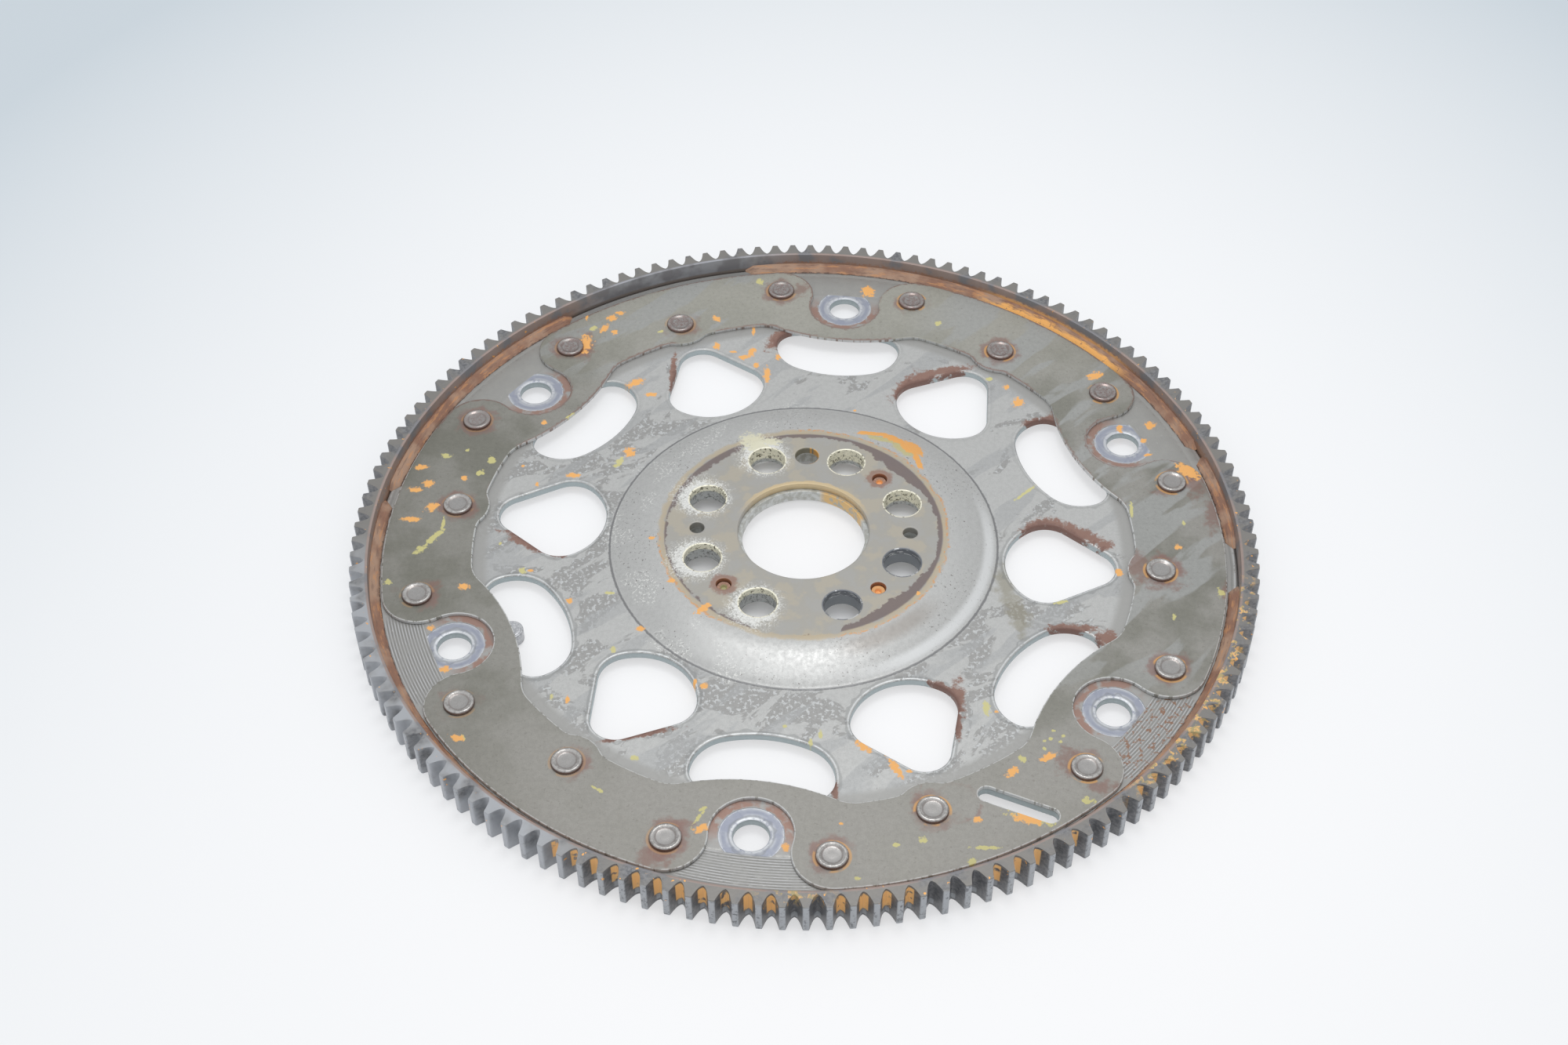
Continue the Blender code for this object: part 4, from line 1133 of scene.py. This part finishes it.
def hole_paint(finish):
    """Crank holes with a crust of powder, two of them clean and dark, and rust round the pins."""
    along, across = finish.folded(CRANK_PHASE, CRANK_HOLES)
    distance = finish.distance(along, across, (HUB_CIRCLE / MM, 0.0))
    dusty = finish.arcs([(100.0, 262.0)], 16.0)
    outward = finish.math("MULTIPLY", finish.math("SUBTRACT", along, HUB_CIRCLE / MM), -0.22)
    reach = finish.scaled(finish.noise(2.2, 4.0, 0.75), 8.0, finish.math("ADD", distance, outward))
    halo = finish.both(finish.band(reach, 15.5, 10.0), dusty)
    finish.coat(POWDER, halo, finish.patches(0.48, 0.56, 0.7, 2.0, 0.8), 0.9)
    finish.coat(POWDER, finish.band(reach, 12.2, 10.2), dusty, 0.7)
    deposit = finish.stains(HOLE_CREAM, finish.noise(1.6, 3.0, 0.7), 1.1, 1.2, 0.3)
    finish.coat((226, 222, 196), deposit, 0.9)
    wall = finish.band(distance, 6.75, 6.45)
    clean = finish.arcs([(270.0, 360.0)], 4.0)
    pitted = finish.noise(1.1, 3.0, 0.75, solid=True)
    crust = finish.paint(CREAM, (112, 106, 84), finish.band(pitted, 0.54, 0.62))
    depth = finish.rough(finish.z, finish.noise(1.8, 2.0, 0.6, solid=True), 3.0)
    lower = finish.band(depth, 7.9, 7.0)
    crust = finish.paint(crust, (150, 153, 156), lower, 0.8)
    scratch = finish.noise(1.0, 2.0, 0.7, finish.mapped((0.0, 0.0, 0.0), 0.0, (3.0, 3.0, 0.5)), solid=True)
    bare = finish.paint((122, 125, 130), (206, 208, 208), finish.band(scratch, 0.54, 0.6))
    crust = finish.paint(crust, bare, clean)
    finish.coat(crust, wall)
    index_hole = finish.distance(finish.x, finish.y, in_mm(HUB_CIRCLE, INDEX_HOLE_ANGLE))
    flakes = finish.both(finish.band(finish.x, 0.4, 1.2), finish.patches(0.4, 0.5, 1.2, 2.0, 0.7))
    flakes = finish.paint((150, 146, 130), (236, 180, 100), flakes)
    rim = INDEX_HOLE_RADIUS / MM
    finish.coat(flakes, finish.band(index_hole, rim + 0.35, rim + 0.1))
    pins = finish.nearest([(*in_mm(HUB_CIRCLE, angle), 2.0, 2.0) for angle in HUB_PIN_ANGLES])
    blot = finish.band(finish.scaled(finish.noise(2.4, 3.0, 0.6), -4.0, pins), 3.2, 1.6)
    near_rust = finish.arcs([(20.0, 70.0), (200.0, 250.0)], 6.0)
    finish.coat((152, 118, 104), blot, near_rust, 0.8)
    finish.coat((150, 106, 82), finish.band(pins, 2.75, 2.5))


def pad_paint(finish, grain):
    """Converter bolt pads: a clean annulus, a rust crescent round it and turned grooves outside."""
    along, across = finish.folded(CONVERTER_PHASE, HOLES)
    distance = finish.distance(along, across, (CONVERTER_CIRCLE / MM, 0.0))
    zone = finish.band(distance, 26.0, 25.0)
    outer = finish.both(finish.band(finish.radius, 127.4, 127.9), zone)
    finish.coat((166, 165, 162), finish.band(finish.radius, 104.0, 107.0), 0.9)
    swirl = finish.noise(7.0, 2.0, 0.5, None, 1.0)
    pad = finish.paint((184, 187, 194), (158, 162, 176), finish.band(swirl, 0.4, 0.64))
    shade = finish.between(distance, 7.2, 9.4, 0.9)
    pad = finish.paint(pad, (142, 147, 164), shade, finish.band(swirl, 0.62, 0.42), 0.7)
    ring = finish.either(finish.between(distance, 5.2, 7.0, 0.6), finish.between(distance, 9.3, 9.9, 0.3))
    pad = finish.paint(pad, (210, 212, 215), ring, finish.band(grain, 0.3, 0.55), 0.8)
    finish.coat(pad, finish.band(distance, 9.95, 9.75), finish.band(finish.radius, 128.0, 127.6))
    crescent = finish.rough(distance, grain, 2.0)
    crescent = finish.both(finish.between(crescent, 9.6, 13.4, 0.7), finish.band(along, 127.0, 117.0))
    patchy = finish.patches(0.3, 0.52, 6.0, 3.0, 0.6)
    finish.coat((158, 122, 108), crescent, patchy, 0.85)
    wave = finish.math("SINE", finish.math("MULTIPLY", finish.radius, 2.0 * math.pi / GROOVE_PITCH * MM))
    wave = finish.both(finish.band(wave, -0.3, 0.9), finish.arcs([(190.0, 345.0)], 6.0))
    groove = finish.paint((142, 141, 138), (188, 188, 188), wave)
    groove = finish.paint((166, 165, 161), groove, finish.arcs([(190.0, 345.0)], 6.0))
    worn = finish.patches(0.4, 0.6, 6.0, 3.0, 0.6)
    groove = finish.paint(groove, (160, 159, 156), worn, 0.45)
    stain = finish.patches(0.55, 0.62, 2.0, 3.0, 0.75)
    stain = finish.both(stain, finish.arcs([(295.0, 345.0)], 6.0), 0.85)
    groove = finish.paint(groove, (146, 108, 84), stain)
    finish.coat(groove, outer)


# Painted highlights on the pressed shoulder, and one darker, browner stretch: colour, inner and outer
# radius, softness, start and end in degrees, softness of the ends, and depth
SHOULDER_SHEENS = (
    ((222, 222, 220), 50.0, 63.4, 4.0, (-128.0, -72.0), 30.0, 0.45),
    ((158, 152, 146), 47.5, 57.0, 4.0, (-72.0, -38.0), 18.0, 0.75),
    ((240, 241, 241), 59.0, 64.4, 2.2, (-66.0, 14.0), 30.0, 0.6),
)


def disc_finish():
    """Light grey sheet, etched in speckled patches, with stains, flecks and rusty window edges, and painted
    highlights and shade on the shoulder, its crease and the window edges.
    """
    finish = Finish("disc_finish", 0.46, 0.5, flat=True)
    grain = finish.noise(1.6, 3.0, 0.6)
    fine = finish.noise(0.4, 2.0, 0.6)
    cloud = finish.noise(16.0, 4.0, 0.64, finish.mapped((3.0, 9.0, 0.0), 40.0, (1.35, 0.8, 1.0)), 0.4)
    towards_back = finish.scaled(finish.x, 0.6, finish.y)
    worn = finish.scaled(finish.band(towards_back, -30.0, 60.0), -0.1, cloud)
    patch = finish.band(worn, 0.485, 0.525)
    web = finish.band(finish.radius, 64.0, 66.0)
    finish.start((194, 194, 192), (166, 165, 163), finish.both(patch, web))
    specks = finish.patches(0.53, 0.62, 1.5, 3.0, 0.65)
    finish.coat((208, 210, 210), specks, patch, web, 0.85)
    smear_and_sheen = finish.noise(1.0, 3.0, 0.45, finish.mapped((31.0, -14.0, 0.0), 44.0, (40.0, 9.0, 40.0)), 0.3)
    finish.coat((176, 177, 177), finish.band(smear_and_sheen, 0.53, 0.58), web, 0.6)
    finish.mottle(grain, 0.06)
    finish.mottle(fine, 0.05)
    dish = finish.band(finish.radius, 65.0, 63.5)
    pits = finish.patches(0.66, 0.72, 1.0, 2.0, 0.7)
    finish.coat((96, 88, 84), pits, dish, finish.patches(0.44, 0.56, 20.0, 2.0), 0.8)
    dust = finish.patches(0.56, 0.63, 0.9, 2.0, 0.8)
    dust = finish.both(dust, finish.patches(0.52, 0.62, 14.0, 2.0))
    dusty = finish.between(finish.radius, 50.0, 70.0, 4.0)
    finish.coat(POWDER, dust, dusty, finish.band(finish.x, 10.0, -20.0), 0.7)
    # Painted highlights on the shoulder, and one darker, browner stretch
    for colour, low, high, soft, angles, soft_ends, depth in SHOULDER_SHEENS:
        band = finish.between(finish.radius, low, high, soft)
        finish.coat(colour, band, finish.arcs([angles], soft_ends), depth)
    # Painted shade: a dark line along the crease at the shoulder's outer edge
    crease_shade = finish.between(finish.rough(finish.radius, grain, 0.5), 64.0, 65.1, 0.35)
    finish.coat((104, 104, 106), crease_shade, 0.75)
    drip = finish.stains(DRIP, finish.noise(4.0, 3.0, 0.6), 1.2, 1.2, 0.5)
    finish.coat((146, 140, 120), drip, 0.6)
    pad_paint(finish, grain)
    hub_paint(finish, grain)
    hole_paint(finish)
    edge = finish.edge()
    ragged = finish.noise(2.6, 4.0, 0.7, solid=True)
    rust = finish.stains(WINDOW_RUST, ragged, 1.4, 1.15, 0.3)
    finish.coat((140, 104, 90), rust, 0.95)
    core = finish.rough(edge, ragged, 3.0)
    finish.coat(DARK_RUST, finish.band(core, 1.6, 0.4), rust)
    # Painted light along the window edges, strongest towards the front: a bright glint at the edge and a
    # darker line of painted shade just inside it
    nearer = finish.scaled(finish.band(finish.y, 60.0, -20.0), 0.75, 0.25)
    clean = finish.both(web, finish.band(rust, 0.6, 0.0), nearer)
    rim = finish.both(finish.between(edge, 0.9, 1.6, 0.3), clean)
    finish.coat((126, 128, 128), rim, 0.4)
    glint = finish.both(finish.between(edge, 0.35, 1.0, 0.25), clean, finish.band(grain, 0.32, 0.5))
    finish.coat((222, 225, 226), glint, 0.6)
    # Bare cut steel on the upright walls, given a bluish tint as a painted reflection of the pale tabletop
    wall = finish.both(finish.wall(), finish.band(rust, 1.0, 0.0))
    finish.coat((172, 182, 184), wall, web)
    yellow = finish.stains(DISC_YELLOW, grain, 1.2)
    finish.coat(YELLOW, yellow, 0.85)
    orange = finish.stains(DISC_ORANGE, grain, 1.1)
    orange = finish.either(orange, finish.stains(DISH_ORANGE, grain, 1.3))
    finish.coat(ORANGE, orange)
    finish.bump(fine, 0.3)
    finish.bare(finish.either(orange, yellow, rust), 0.5)
    return finish.done(finish.spread(finish.math("SUBTRACT", 1.0, grain), 0.4, 0.52))


def plate_finish():
    """Dull sheet with crusted crank holes and an orange streak in its bore."""
    finish = Finish("plate_finish", 0.5, 0.4)
    grain = finish.noise(2.0, 4.0, 0.6)
    finish.start((178, 178, 172), (206, 208, 206), finish.band(grain, 0.38, 0.6))
    bore = finish.band(finish.radius, 22.0, 21.2)
    streak = finish.both(bore, finish.arcs([(22.0, 74.0)], 8.0), finish.band(grain, 0.36, 0.5))
    finish.coat((226, 184, 112), streak, 0.85)
    along, across = finish.folded(CRANK_PHASE, CRANK_HOLES)
    distance = finish.distance(along, across, (HUB_CIRCLE / MM, 0.0))
    pitted = finish.patches(0.5, 0.6, 0.9, 3.0, 0.75)
    crust = finish.paint((190, 192, 192), (130, 131, 130), pitted)
    back = finish.both(finish.arcs([(0.0, 135.0)], 4.0), finish.band(finish.z, 4.6, 5.8))
    pitted = finish.patches(0.52, 0.6, 1.1, 3.0, 0.75)
    back_crust = finish.paint(CREAM, (118, 112, 92), pitted)
    crust = finish.paint(crust, back_crust, back)
    crust = finish.paint(crust, (150, 154, 158), finish.arcs([(270.0, 360.0)], 4.0))
    finish.coat(crust, finish.band(distance, 6.7, 6.45))
    finish.bump(grain, 0.3)
    return finish.done()


# Arcs of the gear, in degrees: rust in the gullets, patina over the teeth, polished flanks with painted
# glints
GULLET_RUST = ((241.0, 269.5), (274.5, 285.5), (293.5, 301.5), (304.0, 306.0), (313.0, 351.0),
               (357.0, 359.5), (25.0, 30.0), (43.0, 52.0))
TOOTH_PATINA = ((268.5, 273.5), (315.0, 352.0))
POLISHED_GLINTS = ((186.0, 244.0),)
BEAD_ORANGE = (38.0, 63.0)


def gear_finish():
    """Dark oily steel with rust in the gullets, patina on some teeth, a browned inner wall, and painted
    reflections and glints on the teeth.
    """
    finish = Finish("gear_finish", 0.4, 0.42)
    grain = finish.noise(1.2, 4.0, 0.65)
    cloud = finish.noise(9.0, 3.0, 0.5)
    finish.start((106, 107, 111), (138, 138, 139), finish.band(grain, 0.36, 0.64))
    # Painted reflection of the pale tabletop on the tooth crests
    crest = finish.band(finish.radius, 148.75, 149.0)
    finish.coat((168, 171, 175), crest, finish.band(grain, 0.3, 0.5))
    top = finish.band(finish.z, 11.45, 11.7)
    finish.coat((136, 133, 129), top, finish.band(cloud, 0.3, 0.55))
    # Polished flanks at the lower left, lightened as painted glints
    polished_glint = finish.both(finish.arcs(POLISHED_GLINTS, 10.0), finish.band(cloud, 0.3, 0.6))
    finish.coat((178, 181, 186), polished_glint, 0.85)
    wall = finish.band(finish.radius, 144.3, 143.9)
    inner = finish.paint((136, 135, 138), (164, 165, 170), finish.band(cloud, 0.4, 0.6))
    brown = finish.unless(finish.band(cloud, 0.38, 0.52), finish.arcs([(96.0, 126.0)], 12.0))
    inner = finish.paint(inner, (164, 138, 124), brown, 0.7)
    inner = finish.paint(inner, (132, 122, 116), finish.band(finish.z, 7.0, 6.0))
    spread = finish.scaled(grain, -5.0, finish.z)
    spread = finish.unless(finish.band(spread, 6.6, 5.2), finish.arcs([(96.0, 129.0), (-9.0, 2.0)], 4.0))
    inner = finish.paint(inner, (166, 126, 102), spread, 0.8)
    streak = finish.arcs([BEAD_ORANGE], 6.0)
    streak = finish.both(streak, finish.band(finish.scaled(grain, 3.0, finish.z), 11.0, 9.5))
    inner = finish.paint(inner, (236, 180, 116), streak, 0.8)
    finish.coat(inner, wall)
    root = finish.between(finish.radius, 144.4, 146.2, 0.35)
    root = finish.both(root, finish.between(finish.z, 3.4, 11.3, 0.6))
    spots = finish.patches(0.34, 0.44, 3.4, 2.0, 0.6)
    rust = finish.both(root, finish.arcs(GULLET_RUST, 1.2), spots)
    finish.coat((254, 204, 136), rust, 0.95)
    sheen = finish.between(finish.radius, 144.4, 145.6, 0.3)
    finish.coat((178, 182, 186), sheen, finish.between(finish.z, 0.9, 3.6, 0.4), 0.7)
    patina = finish.patches(0.52, 0.57, 4.0, 3.0, 0.65)
    patina = finish.both(patina, finish.arcs(TOOTH_PATINA, 8.0))
    patina = finish.both(patina, finish.band(finish.z, 6.0, 9.5), finish.band(finish.radius, 148.2, 147.0))
    patina_colour = finish.paint((186, 168, 112), (246, 192, 120), finish.band(grain, 0.44, 0.56))
    finish.coat(patina_colour, patina, 0.85)
    dots = finish.patches(0.69, 0.72, 2.0, 2.0, 0.6)
    dots = finish.both(dots, finish.band(finish.z, 7.0, 8.0))
    finish.coat(ORANGE, finish.unless(dots, finish.arcs([(60.0, 130.0)], 10.0)))
    finish.bump(grain, 0.45, 0.08 * MM)
    finish.bare(finish.either(rust, patina, streak), 0.42)
    return finish.done(finish.spread(grain, 0.34, 0.5))


def bead_finish():
    """Rusted weld bead with an orange streak along one stretch."""
    finish = Finish("bead_finish", 0.62, 0.15)
    grain = finish.noise(1.3, 4.0, 0.7)
    cloud = finish.noise(11.0, 3.0, 0.5)
    along = finish.add("ShaderNodeCombineXYZ")
    finish.feed(along.inputs[0], finish.math("MULTIPLY", finish.turn, 0.35))
    finish.feed(along.inputs[1], finish.radius)
    streaks = finish.noise(1.1, 3.0, 0.65, along.outputs[0])
    finish.start((150, 112, 92), (178, 146, 124), finish.band(cloud, 0.38, 0.6))
    finish.coat((112, 88, 77), finish.band(streaks, 0.54, 0.66), 0.5)
    finish.coat((206, 150, 104), finish.band(streaks, 0.46, 0.38), 0.6)
    toe = finish.scaled(finish.noise(1.6, 3.0, 0.7), 1.6, finish.radius)
    finish.coat((74, 62, 58), finish.band(toe, 141.2, 140.7), 0.85)
    streak = finish.scaled(streaks, 4.0, finish.scaled(cloud, 5.0, finish.radius))
    streak = finish.both(finish.band(streak, 146.9, 145.7), finish.arcs([BEAD_ORANGE], 5.0))
    finish.coat((246, 184, 106), finish.unless(streak, finish.band(grain, 0.6, 0.66)))
    finish.bump(grain, 0.7, 0.2 * MM)
    return finish.done()


def rivet_finish():
    """Pressed bright rim, dull centre, browner at the far side of the disc."""
    finish = Finish("rivet_finish", 0.3, 0.75)
    grain = finish.noise(0.9, 3.0, 0.6)
    place = finish.parts(finish.add("ShaderNodeObjectInfo").outputs["Location"])
    finish.start((186, 183, 180), (158, 155, 152), finish.band(grain, 0.4, 0.62))
    finish.coat((160, 158, 156), finish.band(finish.radius, 3.1, 2.7), 0.7)
    back = finish.band(place[1], 20.0 * MM, 70.0 * MM)
    finish.coat((134, 112, 108), back, finish.band(grain, 0.62, 0.42), 0.75)
    finish.coat((126, 114, 110), finish.between(finish.radius, 2.6, 3.5, 0.4), 0.5)
    finish.coat((120, 92, 84), finish.band(finish.radius, 4.55, 4.85), 0.8)
    finish.bump(grain, 0.2)
    return finish.done(finish.spread(grain, 0.24, 0.4))


def pin_finish():
    """Rusted pins, with an orange rim and a greenish centre on some."""
    finish = Finish("pin_finish", 0.7, 0.2)
    grain = finish.noise(0.8, 3.0, 0.65)
    place = finish.parts(finish.add("ShaderNodeObjectInfo").outputs["Location"])
    finish.start((172, 136, 118), (200, 162, 140), finish.band(grain, 0.4, 0.62))
    right = finish.band(place[0], 0.0, 10.0 * MM)
    low = finish.band(place[1], 0.0, -10.0 * MM)
    reach = finish.paint(BLACK, (1.0, 1.0, 1.0, 1.0), low, right)
    centre = finish.band(finish.radius, 1.4, 0.9)
    finish.coat((248, 190, 128), right, finish.either(centre, finish.both(reach, 0.9)))
    finish.coat((186, 182, 140), centre, finish.band(right, 1.0, 0.0))
    finish.bump(grain, 0.6)
    return finish.done()


def slug_finish():
    """Plain machined steel."""
    finish = Finish("slug_finish", 0.38, 0.6)
    grain = finish.noise(0.7, 2.0, 0.6)
    finish.start((176, 177, 180), (202, 203, 205), finish.band(grain, 0.4, 0.62))
    finish.bump(grain, 0.15)
    return finish.done()


def floor_finish():
    """Pale tabletop, a little darker behind the disc as painted shade, with a glow that keeps only part of
    a shadow's depth.
    """
    finish = Finish("floor_finish", 0.6, 0.0, flat=True)
    # Painted shade: the tabletop darkens away from its palest point, most behind the disc
    aside = finish.math("MULTIPLY", finish.math("SUBTRACT", finish.x, FLOOR_BRIGHTEST[0]), FLOOR_SIDE_FALL)
    behind = finish.math("SUBTRACT", finish.y, FLOOR_BRIGHTEST[1])
    square = finish.scaled(aside, aside, finish.math("MULTIPLY", behind, behind))
    dim = finish.math("MINIMUM", finish.math("DIVIDE", square, FLOOR_DIM_RADIUS ** 2), 1.0)
    within = finish.band(square, FLOOR_PALE_AGAIN ** 2, FLOOR_DIM_END ** 2)
    far = finish.both(dim, within, finish.band(finish.y, *FLOOR_FRONT))
    finish.start((254, 254, 255), (208, 217, 224), far)
    path = finish.add("ShaderNodeLightPath").outputs
    seen = finish.either(path["Is Camera Ray"], path["Is Glossy Ray"], path["Is Transmission Ray"])
    under_hub = finish.between(finish.radius, 23.0, 46.0, 2.0)
    glow = finish.math("MULTIPLY", seen, finish.scaled(under_hub, -0.8 * FLOOR_GLOW, FLOOR_GLOW))
    finish.feed(finish.shader.inputs["Emission Color"], finish.colour)
    finish.feed(finish.shader.inputs["Emission Strength"], glow)
    finish.shader.inputs["Specular IOR Level"].default_value = 0.0
    finish.coat(BLACK, glow)
    return finish.done()


def make_camera():
    data = bpy.data.cameras.new("photo_camera")
    data.sensor_width = SENSOR_WIDTH
    data.lens = CAMERA_LENS
    data.clip_start = 0.01
    camera = placed("photo_camera", data)
    forward = (CAMERA_AIM - CAMERA_PLACE).normalized()
    facing = forward.to_track_quat("-Z", "Y").to_matrix().to_4x4()
    roll = Matrix.Rotation(math.radians(CAMERA_ROLL), 4, "Z")
    camera.matrix_world = Matrix.Translation(CAMERA_PLACE) @ facing @ roll
    bpy.context.scene.camera = camera


def make_floor():
    half = 3.0
    corners = [(-half, -half, 0.0), (half, -half, 0.0), (half, half, 0.0), (-half, half, 0.0)]
    floor = new_piece("floor", corners, [(0, 1, 2, 3)])
    floor.location.z = -0.02 * MM
    floor.data.materials.append(floor_finish())


def make_lights():
    """An even light tent, brighter overhead than at its sides, and one soft lamp above the disc."""
    world = bpy.data.worlds.new("studio")
    bpy.context.scene.world = world
    world.use_nodes = True
    tree = world.node_tree
    background = tree.nodes["Background"]
    direction = tree.nodes.new("ShaderNodeTexCoord").outputs["Generated"]
    split = tree.nodes.new("ShaderNodeSeparateXYZ")
    tree.links.new(direction, split.inputs[0])
    rise = tree.nodes.new("ShaderNodeMapRange")
    rise.interpolation_type = "SMOOTHSTEP"
    rise.inputs["From Min"].default_value, rise.inputs["From Max"].default_value = TENT_RISE
    rise.inputs["To Min"].default_value = TENT_SIDE
    rise.inputs["To Max"].default_value = TENT_TOP
    tree.links.new(split.outputs[2], rise.inputs["Value"])
    seen = tree.nodes.new("ShaderNodeMix")
    seen.inputs["B"].default_value = TENT_SEEN
    tree.links.new(tree.nodes.new("ShaderNodeLightPath").outputs["Is Camera Ray"], seen.inputs["Factor"])
    tree.links.new(rise.outputs[0], seen.inputs["A"])
    tree.links.new(seen.outputs["Result"], background.inputs["Strength"])
    background.inputs["Color"].default_value = TENT_COLOUR
    data = bpy.data.lights.new("overhead", "AREA")
    data.shape = "DISK"
    data.size = LAMP_SIZE
    data.energy = LAMP_ENERGY
    placed("overhead", data).location = LAMP_PLACE


def main():
    disc = make_disc()
    ring = make_reinforcing_ring()
    plate = make_hub_plate()
    gear = make_gear()
    slug = make_slug()
    finishes = (
        (disc, disc_finish()),
        (ring, ring_finish()),
        (plate, plate_finish()),
        (gear, gear_finish()),
        (slug, slug_finish()),
    )
    for piece, material in finishes:
        piece.data.materials.append(material)
        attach(piece, BODY)
    make_rivets(rivet_finish())
    make_pins(pin_finish())
    weld = bead_finish()
    for index, (start, end) in enumerate(WELD_ARCS):
        make_weld(index + 1, start, end, weld)
    make_floor()
    make_lights()
    make_camera()
    bpy.context.scene.view_settings.view_transform = "Standard"


main()
